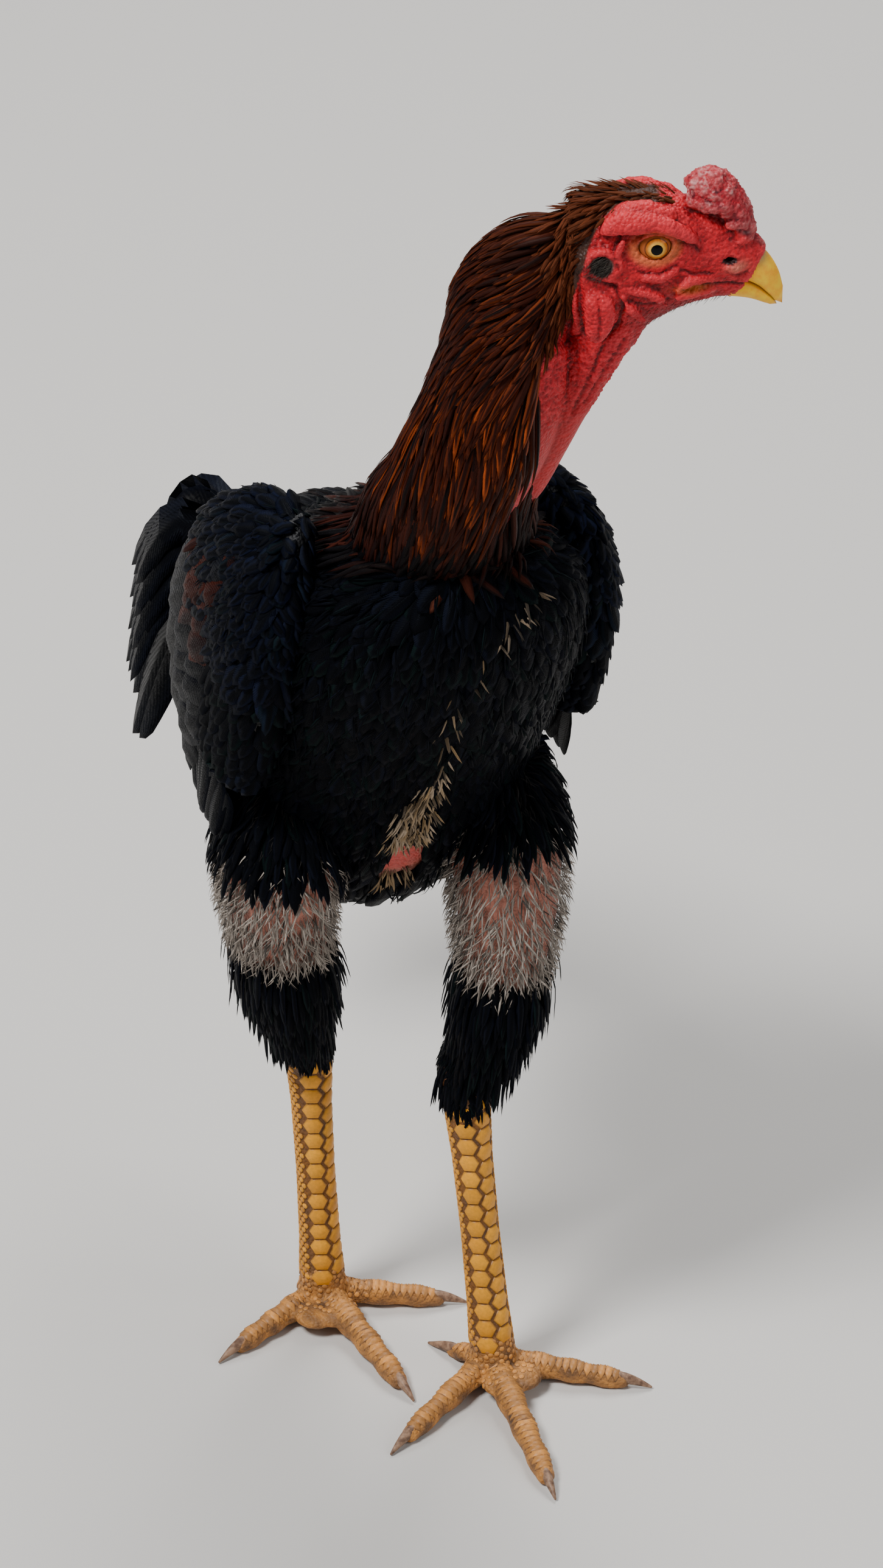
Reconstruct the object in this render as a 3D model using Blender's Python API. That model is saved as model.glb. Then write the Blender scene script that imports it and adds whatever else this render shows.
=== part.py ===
"""A life-size gamecock standing still, head turned to its left.

The bird faces -Y with +Z up and +X on its own left. Sizes are in metres.
Each part of the body is one closed solid, and neighbours stop a thin gap apart.
"""

import math
import random

import bmesh
import bpy
import numpy as np
from mathutils import Matrix, Vector
from mathutils.bvhtree import BVHTree
from mathutils.interpolate import poly_3d_calc

# Gap kept between neighbouring parts
SEAM = 0.0003

# Where the middle of the two feet stands, so that the origin is under the middle of the whole bird
BIRD_PLACE = (-0.0134, -0.057, 0.0)

# Torso: sections from the neck to the tail root, as the breast point, the back point and the half width
NECK_BASE_FRONT = (0.0, -0.075, 0.449)
NECK_BASE_BACK = (0.0, 0.000, 0.441)
NECK_BASE_HALF_WIDTH = 0.036
TORSO_SECTIONS = (
    (NECK_BASE_FRONT, NECK_BASE_BACK, NECK_BASE_HALF_WIDTH),
    ((0.0, -0.084, 0.425), (0.0, 0.034, 0.424), 0.056),
    ((0.0, -0.078, 0.395), (0.0, 0.062, 0.407), 0.065),
    ((0.0, -0.062, 0.356), (0.0, 0.086, 0.393), 0.068),
    ((0.0, -0.040, 0.314), (0.0, 0.106, 0.379), 0.067),
    ((0.0, -0.017, 0.268), (0.0, 0.125, 0.367), 0.064),
    ((0.0, 0.017, 0.231), (0.0, 0.140, 0.359), 0.057),
    ((0.0, 0.064, 0.229), (0.0, 0.152, 0.352), 0.046),
    ((0.0, 0.105, 0.259), (0.0, 0.165, 0.346), 0.034),
    ((0.0, 0.135, 0.292), (0.0, 0.177, 0.341), 0.022),
)
TORSO_RINGS = 15
TORSO_SIDES = 16
# How much wider the torso is towards the breast than towards the back
BREAST_FULLNESS = 0.28

# Head frame: a point between the eyes, the way the beak points, and sizes forward, sideways and up from it
HEAD_CENTRE = (0.068, -0.086, 0.5906)
HEAD_YAW = math.radians(66)

# Skull and beak as one form: top point and under point as (forward, up), and the half width
NAPE_PLANE = -0.031
SKULL_SECTIONS = (
    ((NAPE_PLANE, 0.0135), (NAPE_PLANE, -0.0460), 0.0165),
    ((-0.018, 0.0170), (-0.018, -0.0465), 0.0170),
    ((-0.006, 0.0172), (-0.007, -0.0430), 0.0162),
    ((0.006, 0.0155), (0.004, -0.0360), 0.0148),
    ((0.017, 0.0120), (0.014, -0.0310), 0.0125),
    ((0.028, 0.0055), (0.023, -0.0285), 0.0102),
    ((0.038, -0.0020), (0.030, -0.0272), 0.0078),
    ((0.0445, -0.0100), (0.036, -0.0280), 0.0060),
    ((0.0490, -0.0185), (0.042, -0.0295), 0.0040),
    ((0.0507, -0.0265), (0.047, -0.0310), 0.0018),
)
BEAK_TIP = (0.0505, 0.0, -0.0318)
SKULL_RINGS = 12
SKULL_SIDES = 12
# The skin ends and the horn of the beak begins on a slanting plane: one point of it and its normal
BEAK_ROOT = (0.0355, -0.0126)
BEAK_ROOT_NORMAL = (0.77, -0.637)
# The line between the two halves of the beak, from the corner of the mouth forward
GAPE = ((0.0096, -0.0193), (0.0155, -0.0172), (0.0296, -0.0188), (0.0360, -0.0200), (0.0410, -0.0228),
        (0.0462, -0.0284), (0.0485, -0.0330))
MOUTH_GROOVE = 0.0009
MOUTH_CORE_HALF_WIDTH = 0.0065
MOUTH_POINTS = 4
# How far the forms that part the beak's halves reach to the sides, down and up
BEAK_CUT_REACH = 0.02
BEAK_CUT_FLOOR = -0.06
BEAK_CUT_ROOF = 0.03

EYE_SPREAD = 0.0098
EYE_RADIUS = 0.0072
LID_SIZE = (0.0076, 0.0058)
LID_SPREAD = 0.0146
LID_THICKNESS = 0.0015
BROW_CENTRE = (-0.003, 0.0118, 0.0105)
BROW_SIZE = (0.0165, 0.0048, 0.0050)
EAR_CENTRE = (-0.0202, 0.0165, -0.0070)
EAR_RADIUS = 0.0050
EAR_RIM = 0.0013
EAR_BULGE = 0.0022
NOSTRIL_CENTRE = (0.0290, 0.0088, -0.0085)
NOSTRIL_SIZE = (0.0030, 0.0022, 0.0011)

# Earlobe: down its length as the front and back points (forward, up), the half thickness and how far out
EARLOBE_SECTIONS = (
    ((-0.0195, -0.0182), (-0.0262, -0.0180), 0.0016, 0.0170),
    ((-0.0165, -0.0215), (-0.0268, -0.0215), 0.0024, 0.0178),
    ((-0.0150, -0.0265), (-0.0265, -0.0270), 0.0027, 0.0180),
    ((-0.0158, -0.0330), (-0.0262, -0.0340), 0.0027, 0.0178),
    ((-0.0190, -0.0385), (-0.0248, -0.0390), 0.0020, 0.0170),
)
EARLOBE_TOP_RISE = 0.0015
EARLOBE_END_DROP = 0.0030

# Comb: sections from its front to its rear as the root point and the crest point (forward, up), half width
COMB_SECTIONS = (
    ((0.0400, -0.0035), (0.0420, 0.0020), 0.0035),
    ((0.0355, -0.0040), (0.0390, 0.0118), 0.0078),
    ((0.0290, 0.0010), (0.0330, 0.0200), 0.0092),
    ((0.0220, 0.0060), (0.0250, 0.0255), 0.0096),
    ((0.0160, 0.0085), (0.0180, 0.0272), 0.0088),
    ((0.0120, 0.0100), (0.0125, 0.0220), 0.0062),
)
COMB_FRONT = (0.0425, -0.0010)
COMB_REAR = (0.0105, 0.0160)
# Bulbs of the comb: their size and how it varies, and each row with its height from root to crest
COMB_BULB = 0.0047
COMB_BULB_CHANGE = 0.16
COMB_BULB_RHYTHM = 2.3
COMB_ROWS = ((-1, 0.52), (0, 0.82), (1, 0.52))
COMB_ROW_SPREAD = 0.60

# Neck: front and back points and half width, from the shoulders up; its last section is the nape plane
NECK_SECTIONS = (
    ((0.008, -0.0830, 0.474), (-0.010, -0.0180, 0.468), 0.0330),
    ((0.023, -0.0860, 0.497), (-0.014, -0.0360, 0.490), 0.0315),
    ((0.032, -0.0850, 0.520), (-0.008, -0.0430, 0.514), 0.0305),
    ((0.038, -0.0800, 0.5405), (-0.004, -0.0500, 0.540), 0.0290),
    ((0.0395, -0.0745, 0.5425), (0.000, -0.0540, 0.568), 0.0270),
    ((0.0396, -0.0738, 0.5438), (0.016, -0.0620, 0.590), 0.0220),
)
NECK_RINGS = 11
NECK_SIDES = 16
# Hackle: how deep the feathers lie over the neck's core, and each feather's sizes
HACKLE_DEPTH = 0.0060
HACKLE_TIERS = 6
HACKLE_PER_TIER = 8
HACKLE_SPREAD = math.radians(126)
HACKLE_LENGTHS = (0.068, 0.080, 0.080, 0.072, 0.062, 0.044)
HACKLE_WIDTHS = (0.0140, 0.0140, 0.0130, 0.0125, 0.0115, 0.0095)
HACKLE_RISES = (0.0054, 0.0048, 0.0036, 0.0032, 0.0034, 0.0036)

# Every vane's thickness, how far its root is sunk past the core's skin, and its half width down its length
VANE_THICKNESS = 0.0008
VANE_SINK = 0.0018
VANE_OUTLINE = (0.62, 1.0, 0.85)
ARCH_OUTLINE = (0.55, 0.95, 1.0, 0.72)
# How soon a laid vane comes out of its core: more is sooner
VANE_LIFT = 1.7
# Neighbouring vanes lie this much over and under each other
VANE_STAGGER = 0.0015
SEED = 7

# Bare throat: middle line (forward, up) in the head frame with its radius, from the jaw down to the breast
THROAT_LINE = (
    (-0.0120, -0.0300, 0.0150),
    (-0.0205, -0.0450, 0.0140),
    (-0.0280, -0.0600, 0.0128),
    (-0.0350, -0.0760, 0.0120),
    (-0.0430, -0.0950, 0.0112),
    (-0.0500, -0.1120, 0.0100),
    (-0.0545, -0.1220, 0.0070),
)
THROAT_FLATNESS = 0.9
THROAT_HEAD_ROWS = 3
THROAT_SIDES = 10

# Folded wing: front and back points and half thickness, from the wrist down, on the bird's left
WING_SECTIONS = (
    ((0.054, -0.022, 0.4450), (0.047, 0.008, 0.4480), 0.0070),
    ((0.066, -0.037, 0.4250), (0.049, 0.042, 0.4330), 0.0145),
    ((0.073, -0.038, 0.3950), (0.053, 0.074, 0.4070), 0.0190),
    ((0.075, -0.030, 0.3600), (0.055, 0.094, 0.3760), 0.0195),
    ((0.076, -0.016, 0.3260), (0.058, 0.098, 0.3420), 0.0160),
    ((0.077, -0.002, 0.2990), (0.064, 0.084, 0.3110), 0.0090),
    ((0.078, 0.010, 0.2800), (0.073, 0.052, 0.2850), 0.0035),
)
WING_TIP = (0.077, 0.026, 0.272)
WING_TOP = (0.048, -0.010, 0.4510)
WING_RINGS = 8
WING_SIDES = 10
# The wing's core ends short of the flight feathers, as shares of the folded wing's chord and length
WING_CORE_CHORD = 0.60
WING_CORE_SECTIONS = 5
WING_CORE_THICKNESS = 0.86
# Flight feathers: share down the wing of root and tip, share back of root and tip, and the width
SECONDARIES = 8
SECONDARY_ROOTS = ((0.16, 0.74), (0.44, 0.50))
SECONDARY_TIPS = ((0.50, 0.93), (1.02, 0.86))
SECONDARY_WIDTH = 0.0190
PRIMARIES = 4
PRIMARY_ROOTS = ((0.60, 0.72), (0.30, 0.16))
PRIMARY_TIPS = ((0.985, 0.955), (0.74, 0.18))
PRIMARY_WIDTH = 0.0130
# Coverts: two tiers over the roots of the flight feathers
COVERT_TIERS = 2
COVERTS = 5
COVERT_ROOTS = ((0.08, 0.66), (0.18, 0.16))
COVERT_REACH = 0.30
COVERT_TIER_STEP = (0.06, 0.10)
COVERT_TIP_DROP = 0.55
COVERT_WIDTH = 0.0180
# The way the folded wing's outer face looks, and the change between lengths of its feathers
WING_OUTWARDS = (1.0, 0.25, 0.0)
FLIGHT_CHANGE = 0.03

# Tail: under point, upper point and half width, from its root to where the feathers end
TAIL_SECTIONS = (
    ((0.0, 0.156, 0.289), (0.0, 0.184, 0.337), 0.021),
    ((0.0, 0.171, 0.296), (0.0, 0.191, 0.324), 0.013),
)
TAIL_END = (0.0, 0.187, 0.308)
TAIL_RINGS = 4
TAIL_SIDES = 10
# Tail feathers on one side, from the top down: bend point and tip as (back, up), in a sagging arch
TAIL_ROOT = (0.162, 0.318)
TAIL_BENDS = ((0.206, 0.366), (0.204, 0.350), (0.197, 0.335), (0.189, 0.320), (0.179, 0.304))
TAIL_TIPS = ((0.242, 0.262), (0.240, 0.236), (0.229, 0.218), (0.214, 0.210), (0.199, 0.214))
TAIL_WIDTH = 0.0290
TAIL_STEP = 0.0030
# How the tail fans out and swings to the right at its feathers' roots, bends and tips
TAIL_FAN = (0.7, 1.3, 1.7)
TAIL_SWINGS = (0.0, 0.4, 1.0)
TAIL_ROOT_STEP = (0.002, -0.004)
# How far inside the tail's front face the feathers' roots stop
TAIL_ROOT_INSET = 0.0005
TAIL_SWING = -0.020
# The long thin sickle on the right and the shorter one on the left: bend point, tip, width
SICKLES = {-1: ((0.236, 0.356), (0.230, 0.196), 0.0100), 1: ((0.230, 0.352), (0.236, 0.226), 0.0100)}
SICKLE_FAN = (0.25, 0.0, 0.3)
SICKLE_BEND_OUT = 0.001
SICKLE_SWING = 1.6
# Tail coverts on one side: how far out, then root, bend and tip as (back, up), with their change per covert
TAIL_COVERTS = 2
TAIL_COVERT_WIDTH = 0.0160
TAIL_COVERT_OUT = (0.0165, 0.0022)
TAIL_COVERT_PATH = (
    ((0.163, 0.330), (0.000, -0.010)),
    ((0.192, 0.350), (-0.003, -0.014)),
    ((0.213, 0.292), (-0.005, -0.015)),
)
TAIL_COVERT_FAN = (0.8, 1.7, 1.9)
TAIL_COVERT_SWINGS = (0.0, 0.3, 0.6)

# Saddle: feathers over the rump, as rows from the middle of the back outwards
SADDLE_TIERS = 3
SADDLE_PER_TIER = 5
SADDLE_LENGTH = 0.052
SADDLE_WIDTH = 0.0130
SADDLE_RISE = 0.0040
SADDLE_HALF_SPAN = 0.036
SADDLE_START = (0.074, 0.42)
SADDLE_TIER_STEP = 0.018
SADDLE_SIDE_DROP = 0.03
SADDLE_HEADING = (0.25, 1.0, -0.45)

# Legs, the bird's left then its right: where the shank meets the foot, the hock, and the way the foot points
LEG_SIDES = ("left", "right")
FOOT_ROOT = {"left": (0.0245, -0.0375, 0.0200), "right": (-0.0250, 0.0380, 0.0200)}
HOCK = {"left": (0.0200, -0.0190, 0.1460), "right": (-0.0280, 0.0430, 0.1445)}
FOOT_HEADING = {"left": (-0.0105, -0.0905), "right": (0.0095, -0.0810)}
# Thigh: middle points from the hip to just above the hock, each with its half width and half depth
THIGH_LINE = {
    "left": (
        (0.040, 0.006, 0.305, 0.0250, 0.0320),
        (0.040, -0.012, 0.274, 0.0290, 0.0330),
        (0.037, -0.023, 0.244, 0.0270, 0.0290),
        (0.033, -0.026, 0.208, 0.0215, 0.0240),
        (0.027, -0.023, 0.175, 0.0160, 0.0175),
    ),
    "right": (
        (-0.046, 0.020, 0.305, 0.0250, 0.0320),
        (-0.054, 0.008, 0.270, 0.0280, 0.0330),
        (-0.052, 0.014, 0.240, 0.0260, 0.0290),
        (-0.044, 0.024, 0.202, 0.0205, 0.0240),
        (-0.036, 0.035, 0.168, 0.0145, 0.0165),
    ),
}
HOCK_HALF_WIDTH = 0.0105
HOCK_HALF_DEPTH = 0.0120
THIGH_RINGS = 8
THIGH_SIDES = 12
# Shank: how far up from the foot, the half width and the half depth
SHANK_PROFILE = (
    (0.00, 0.0100, 0.0110),
    (0.15, 0.0090, 0.0098),
    (0.45, 0.0084, 0.0091),
    (0.75, 0.0088, 0.0098),
    (0.92, 0.0100, 0.0114),
    (1.00, 0.0104, 0.0117),
)
SHANK_SIDES = 10
SHANK_RINGS = 5
# Front scutes of the shank: two rows of six-sided plates
SCUTES_PER_ROW = 7
SCUTE_ROW_ANGLE = math.radians(33)
SCUTE_HALF_WIDTH = 0.0045
SCUTE_THICKNESS = 0.0020
SCUTE_PROUD = 0.0007
SCUTE_FILL = 0.44
SCUTE_FIRST = 0.8
SCUTE_ROW_SHIFT = 0.25
# How much smaller a scute is at its sunk side, and how much longer than its half height its corners reach
SCUTE_SUNK_SIZE = 0.9
SCUTE_STRETCH = 1.12
# Distance from one toe scute to the next
TOE_SCUTE_PITCH = 0.0150
TOE_SCUTE_FILL = 0.48
TOE_SCUTE_WIDTH = 0.95

# Foot: the pad under the shank, and each toe's tip as seen from the foot root, with its root radius
PAD_SIZE = (0.0138, 0.0140, 0.0125)
PAD_HEIGHT = 0.0085
# The foot's neck up to the shank: how far below it and how much wider than the shank's end
FOOT_NECK = ((SEAM, 1.0), (0.006, 1.08), (0.012, 1.12))
TOE_STUB = 0.8
TOE_START = 0.0158
TOE_ROOT_HEIGHT = 0.0078
TOES = {
    "left": {
        "middle": (-0.0105, -0.0905, 0.0078, 4),
        "outer": (0.0605, -0.0395, 0.0070, 4),
        "inner": (-0.0635, -0.0340, 0.0070, 3),
        "back": (-0.0175, 0.0295, 0.0056, 2),
    },
    "right": {
        "middle": (0.0095, -0.0810, 0.0078, 4),
        "outer": (-0.0590, -0.0210, 0.0070, 4),
        "inner": (0.0595, -0.0276, 0.0070, 3),
        "back": (0.0175, 0.0295, 0.0056, 2),
    },
}
TOE_FLATNESS = 0.95
TOE_TAPER = 0.62
TOE_PAD_SWELL = 0.0009
TOE_SIDES = 8
TOE_RINGS = 6
CLAW_LENGTH = 0.0135
CLAW_RADIUS = 0.0030
CLAW_DROOP = 0.0035
CLAW_RISE = 0.0008
CLAW_TAPER = 0.85
CLAW_TIP_HEIGHT = 0.0006
CLAW_SIDES = 6

SHARP_EDGE = math.radians(50)

# Colour, roughness and metallic value of each material
FINISHES = {
    "black_plumage": ((0.018, 0.019, 0.024), 0.55, 0.0),
    "hackle_plumage": ((0.160, 0.042, 0.022), 0.60, 0.0),
    "thigh_down": ((0.300, 0.255, 0.225), 0.85, 0.0),
    "face_skin": ((0.620, 0.060, 0.055), 0.50, 0.0),
    "comb_skin": ((0.420, 0.050, 0.050), 0.60, 0.0),
    "ear_bristle": ((0.050, 0.045, 0.040), 0.85, 0.0),
    "leg_scale": ((0.640, 0.340, 0.070), 0.50, 0.0),
    "beak_horn": ((0.800, 0.450, 0.080), 0.35, 0.0),
    "claw_horn": ((0.520, 0.400, 0.310), 0.40, 0.0),
    "eye": ((0.700, 0.360, 0.080), 0.08, 0.0),
}


def clear_scene():
    for obj in list(bpy.data.objects):
        bpy.data.objects.remove(obj, do_unlink=True)


def make_material(name):
    colour, roughness, metallic = FINISHES[name]
    material = bpy.data.materials.new(name)
    material.use_nodes = True
    shader = material.node_tree.nodes["Principled BSDF"]
    shader.inputs["Base Color"].default_value = (*colour, 1.0)
    shader.inputs["Roughness"].default_value = roughness
    shader.inputs["Metallic"].default_value = metallic
    return material


def head_point(forward, side, up):
    """A point given forward, to the bird's left and up from between its eyes."""
    sine, cosine = math.sin(HEAD_YAW), math.cos(HEAD_YAW)
    ahead = Vector((sine, -cosine, 0.0))
    left = Vector((cosine, sine, 0.0))
    return Vector(HEAD_CENTRE) + ahead * forward + left * side + Vector((0.0, 0.0, up))


def head_matrix(forward, side, up):
    matrix = Matrix.Rotation(HEAD_YAW - math.pi / 2, 4, "Z")
    matrix.translation = head_point(forward, side, up)
    return matrix


def object_from(name, points, faces):
    """A closed mesh object with its faces pointing out."""
    mesh = bpy.data.meshes.new(name)
    mesh.from_pydata([tuple(point) for point in points], [], faces)
    face_outwards(mesh)
    obj = bpy.data.objects.new(name, mesh)
    bpy.context.scene.collection.objects.link(obj)
    return obj


def face_outwards(mesh):
    bm = bmesh.new()
    bm.from_mesh(mesh)
    bmesh.ops.recalc_face_normals(bm, faces=bm.faces)
    bm.to_mesh(mesh)
    bm.free()


def spline(rows, count):
    """Rows read evenly along a smooth curve through the given rows."""
    rows = np.array(rows, float)
    padded = np.vstack([2 * rows[0] - rows[1], rows, 2 * rows[-1] - rows[-2]])
    read = []
    for place in np.linspace(0, len(rows) - 1, count):
        start = min(int(place), len(rows) - 2)
        s = place - start
        p0, p1, p2, p3 = padded[start : start + 4]
        linear = (p2 - p0) * s
        square = (2 * p0 - 5 * p1 + 4 * p2 - p3) * s**2
        cube = (3 * p1 - 3 * p2 + p3 - p0) * s**3
        read.append(p1 + 0.5 * (linear + square + cube))
    return np.array(read)


def tube_faces(rings, sides):
    """Triangles of a tube of rings, whose two end points follow the ring points."""
    faces = []
    for ring in range(rings - 1):
        for side in range(sides):
            a = ring * sides + side
            b = ring * sides + (side + 1) % sides
            faces.append((a, b, b + sides))
            faces.append((a, b + sides, a + sides))
    first_end, last_end = rings * sides, rings * sides + 1
    last_ring = (rings - 1) * sides
    for side in range(sides):
        after = (side + 1) % sides
        faces.append((first_end, after, side))
        faces.append((last_end, last_ring + side, last_ring + after))
    return faces


def loft(name, sections, rings, sides, ends=(None, None), facing=(None, None), fullness=0.0):
    """A closed form through oval sections, each a front point, a back point and a half width.

    An end is flat where it has no end point, and its face can be given a direction to look along.
    Fullness moves the widest place towards the front.
    """
    rows = spline([(*front, *back, half) for front, back, half in sections], rings)
    centres = (rows[:, 0:3] + rows[:, 3:6]) / 2
    tangents = [Vector(tangent) for tangent in np.gradient(centres, axis=0)]
    tangents[0] = facing[0] or tangents[0]
    tangents[-1] = facing[1] or tangents[-1]
    points = []
    for row, centre, tangent in zip(rows, centres, tangents):
        depth = Vector((row[0:3] - row[3:6]) / 2)
        across = depth.cross(tangent).normalized() * row[6]
        for side in range(sides):
            angle = 2 * math.pi * side / sides
            wide = across * math.sin(angle) * (1.0 + fullness * math.cos(angle))
            points.append(Vector(centre) + depth * math.cos(angle) + wide)
    points.append(Vector(ends[0] or centres[0]))
    points.append(Vector(ends[1] or centres[-1]))
    return object_from(name, points, tube_faces(rings, sides))


def head_sections(sections):
    """Sections of the head's own middle plane as front and back points in the bird's frame."""
    return [(head_point(a[0], 0.0, a[1]), head_point(b[0], 0.0, b[1]), half) for a, b, half in sections]


def ellipsoid(name, matrix, size, segments=16, rings=10):
    mesh = bpy.data.meshes.new(name)
    bm = bmesh.new()
    bmesh.ops.create_uvsphere(bm, u_segments=segments, v_segments=rings, radius=1.0)
    bmesh.ops.triangulate(bm, faces=bm.faces)
    bmesh.ops.scale(bm, vec=size, verts=bm.verts)
    bmesh.ops.transform(bm, matrix=matrix, verts=bm.verts)
    bm.to_mesh(mesh)
    bm.free()
    obj = bpy.data.objects.new(name, mesh)
    bpy.context.scene.collection.objects.link(obj)
    return obj


def prism(name, outline, low, high):
    """A closed prism on an outline in the head's middle plane, from one side distance to another."""
    count = len(outline)
    points = [head_point(f, low, u) for f, u in outline] + [head_point(f, high, u) for f, u in outline]
    faces = [tuple(range(count)), tuple(range(2 * count - 1, count - 1, -1))]
    faces += [(i, (i + 1) % count, count + (i + 1) % count, count + i) for i in range(count)]
    return object_from(name, points, faces)


def ring_bead(name, matrix, size, thickness, segments=16, sides=6):
    """An oval bead, flat on the matrix's XZ plane."""
    points = []
    for segment in range(segments):
        angle = 2 * math.pi * segment / segments
        middle = Vector((size[0] * math.cos(angle), 0.0, size[1] * math.sin(angle)))
        out = Vector((math.cos(angle), 0.0, math.sin(angle)))
        for side in range(sides):
            turn = 2 * math.pi * side / sides
            shift = out * math.cos(turn) + Vector((0.0, 1.0, 0.0)) * math.sin(turn)
            points.append(matrix @ (middle + shift * thickness))
    faces = []
    for segment in range(segments):
        for side in range(sides):
            a = segment * sides + side
            b = segment * sides + (side + 1) % sides
            shift = sides if segment < segments - 1 else -segment * sides
            faces.append((a, b, b + shift, a + shift))
    return object_from(name, points, faces)


def inflated(obj, distance):
    """A copy of an object with its surface moved outwards, to cut a neighbour clear of it."""
    copy = bpy.data.objects.new(obj.name + "_cutter", obj.data.copy())
    bpy.context.scene.collection.objects.link(copy)
    bm = bmesh.new()
    bm.from_mesh(copy.data)
    bm.normal_update()
    moves = [vert.normal * distance * min(vert.calc_shell_factor(), 2.0) for vert in bm.verts]
    for vert, move in zip(bm.verts, moves):
        vert.co += move
    bm.to_mesh(copy.data)
    bm.free()
    return copy


def keep_largest(mesh):
    """Keeps only the largest closed surface of a mesh."""
    bm = bmesh.new()
    bm.from_mesh(mesh)
    unseen = set(bm.verts)
    islands = []
    while unseen:
        reached = [unseen.pop()]
        island = list(reached)
        while reached:
            for edge in reached.pop().link_edges:
                for vert in edge.verts:
                    if vert in unseen:
                        unseen.discard(vert)
                        reached.append(vert)
                        island.append(vert)
        islands.append(island)
    islands.sort(key=len, reverse=True)
    loose = [vert for island in islands[1:] for vert in island]
    bmesh.ops.delete(bm, geom=loose, context="VERTS")
    bm.to_mesh(mesh)
    bm.free()


def boolean(target, pieces, operation, solver="EXACT"):
    """Joins pieces to the target, or cuts them from it, and removes them."""
    group = bpy.data.collections.new(target.name + "_pieces")
    bpy.context.scene.collection.children.link(group)
    for piece in pieces:
        group.objects.link(piece)
        bpy.context.scene.collection.objects.unlink(piece)
    modifier = target.modifiers.new("pieces", "BOOLEAN")
    modifier.operation = operation
    modifier.operand_type = "COLLECTION"
    modifier.collection = group
    modifier.solver = solver
    graph = bpy.context.evaluated_depsgraph_get()
    mesh = bpy.data.meshes.new_from_object(target.evaluated_get(graph))
    target.modifiers.clear()
    target.data = mesh
    for piece in list(group.objects):
        bpy.data.objects.remove(piece, do_unlink=True)
    bpy.data.collections.remove(group)
    keep_largest(mesh)


def fuse(target, pieces):
    boolean(target, pieces, "UNION")


def fuse_vanes(target, vanes):
    """Joins crossing vanes, which only the manifold solver keeps closed."""
    boolean(target, vanes, "UNION", "MANIFOLD")


def cut_clear(target, neighbours, solver="EXACT"):
    boolean(target, [inflated(neighbour, SEAM) for neighbour in neighbours], "DIFFERENCE", solver)


def cut_by(target, form):
    """Cuts a target with a copy of a form that is kept for further cuts."""
    boolean(target, [inflated(form, 0.0)], "DIFFERENCE")


def slice_off(obj, point, normal):
    """Removes what lies on the normal's side of a plane and closes the cut."""
    bm = bmesh.new()
    bm.from_mesh(obj.data)
    geometry = list(bm.verts) + list(bm.edges) + list(bm.faces)
    bmesh.ops.bisect_plane(bm, geom=geometry, plane_co=point, plane_no=normal, clear_outer=True)
    edges = [edge for edge in bm.edges if edge.is_boundary]
    bmesh.ops.holes_fill(bm, edges=edges, sides=0)
    bmesh.ops.triangulate(bm, faces=[face for face in bm.faces if len(face.verts) > 3])
    bmesh.ops.recalc_face_normals(bm, faces=bm.faces)
    bm.to_mesh(obj.data)
    bm.free()


def moved_along(sections, normal, distance):
    """The same section points moved a little along a direction."""
    shift = Vector(normal).normalized() * distance
    return [tuple(Vector(point) + shift) for point in sections]


class Surface:
    """The outside of some objects, read as a smooth surface for feathers to lie on."""

    def __init__(self, objects):
        self.points, self.normals, self.faces = [], [], []
        for obj in objects:
            start = len(self.points)
            self.points += [vert.co.copy() for vert in obj.data.vertices]
            self.normals += [vert.normal.copy() for vert in obj.data.vertices]
            self.faces += [tuple(start + index for index in face.vertices) for face in obj.data.polygons]
        self.tree = BVHTree.FromPolygons(self.points, self.faces)

    def nearest(self, point):
        place, _, index, _ = self.tree.find_nearest(point)
        corners = self.faces[index]
        shares = poly_3d_calc([self.points[corner] for corner in corners], place)
        normal = Vector()
        for corner, share in zip(corners, shares):
            normal += self.normals[corner] * share
        return place, normal.normalized()


def vane_faces(rings):
    """Triangles of a four-cornered blade, split alike on its two faces, closed by one tip point."""
    faces = [(0, 1, 2), (0, 2, 3)]
    for ring in range(rings - 1):
        a, b, c, d = (ring * 4 + corner for corner in range(4))
        faces += [(a, b, b + 4), (a, b + 4, a + 4), (d, c + 4, c), (d, d + 4, c + 4)]
        faces += [(b, c, c + 4), (b, c + 4, b + 4), (d, a, a + 4), (d, a + 4, d + 4)]
    tip = rings * 4
    faces += [(tip - 4 + side, tip - 4 + (side + 1) % 4, tip) for side in range(4)]
    return faces


def blade(name, middles, normals, width, outline):
    """A tapered vane through its middle points, whose last point is its tip."""
    points = []
    for index, (middle, normal) in enumerate(zip(middles[:-1], normals[:-1])):
        along = (middles[index + 1] - middles[max(index - 1, 0)]).normalized()
        across = along.cross(normal).normalized()
        up = across.cross(along)
        half = width / 2 * outline[index]
        thick = VANE_THICKNESS / 2
        points.append(middle - across * half + up * thick)
        points.append(middle + across * half + up * thick)
        points.append(middle + across * half - up * thick)
        points.append(middle - across * half - up * thick)
    points.append(middles[-1])
    return object_from(name, points, vane_faces(len(middles) - 1))


def laid_vane(name, guide, start, heading, length, width, sink, rise):
    """A vane that follows a guide surface, from a sunk root to a tip that stands off by the rise."""
    place, normal = guide.nearest(start)
    middles, normals = [], []
    steps = len(VANE_OUTLINE)
    for step in range(steps + 1):
        heading = (heading - normal * heading.dot(normal)).normalized()
        middles.append(place + normal * (rise - (sink + rise) * (1.0 - step / steps) ** VANE_LIFT))
        normals.append(normal)
        place, normal = guide.nearest(place + heading * (length / steps))
    return blade(name, middles, normals, width, VANE_OUTLINE)


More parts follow.
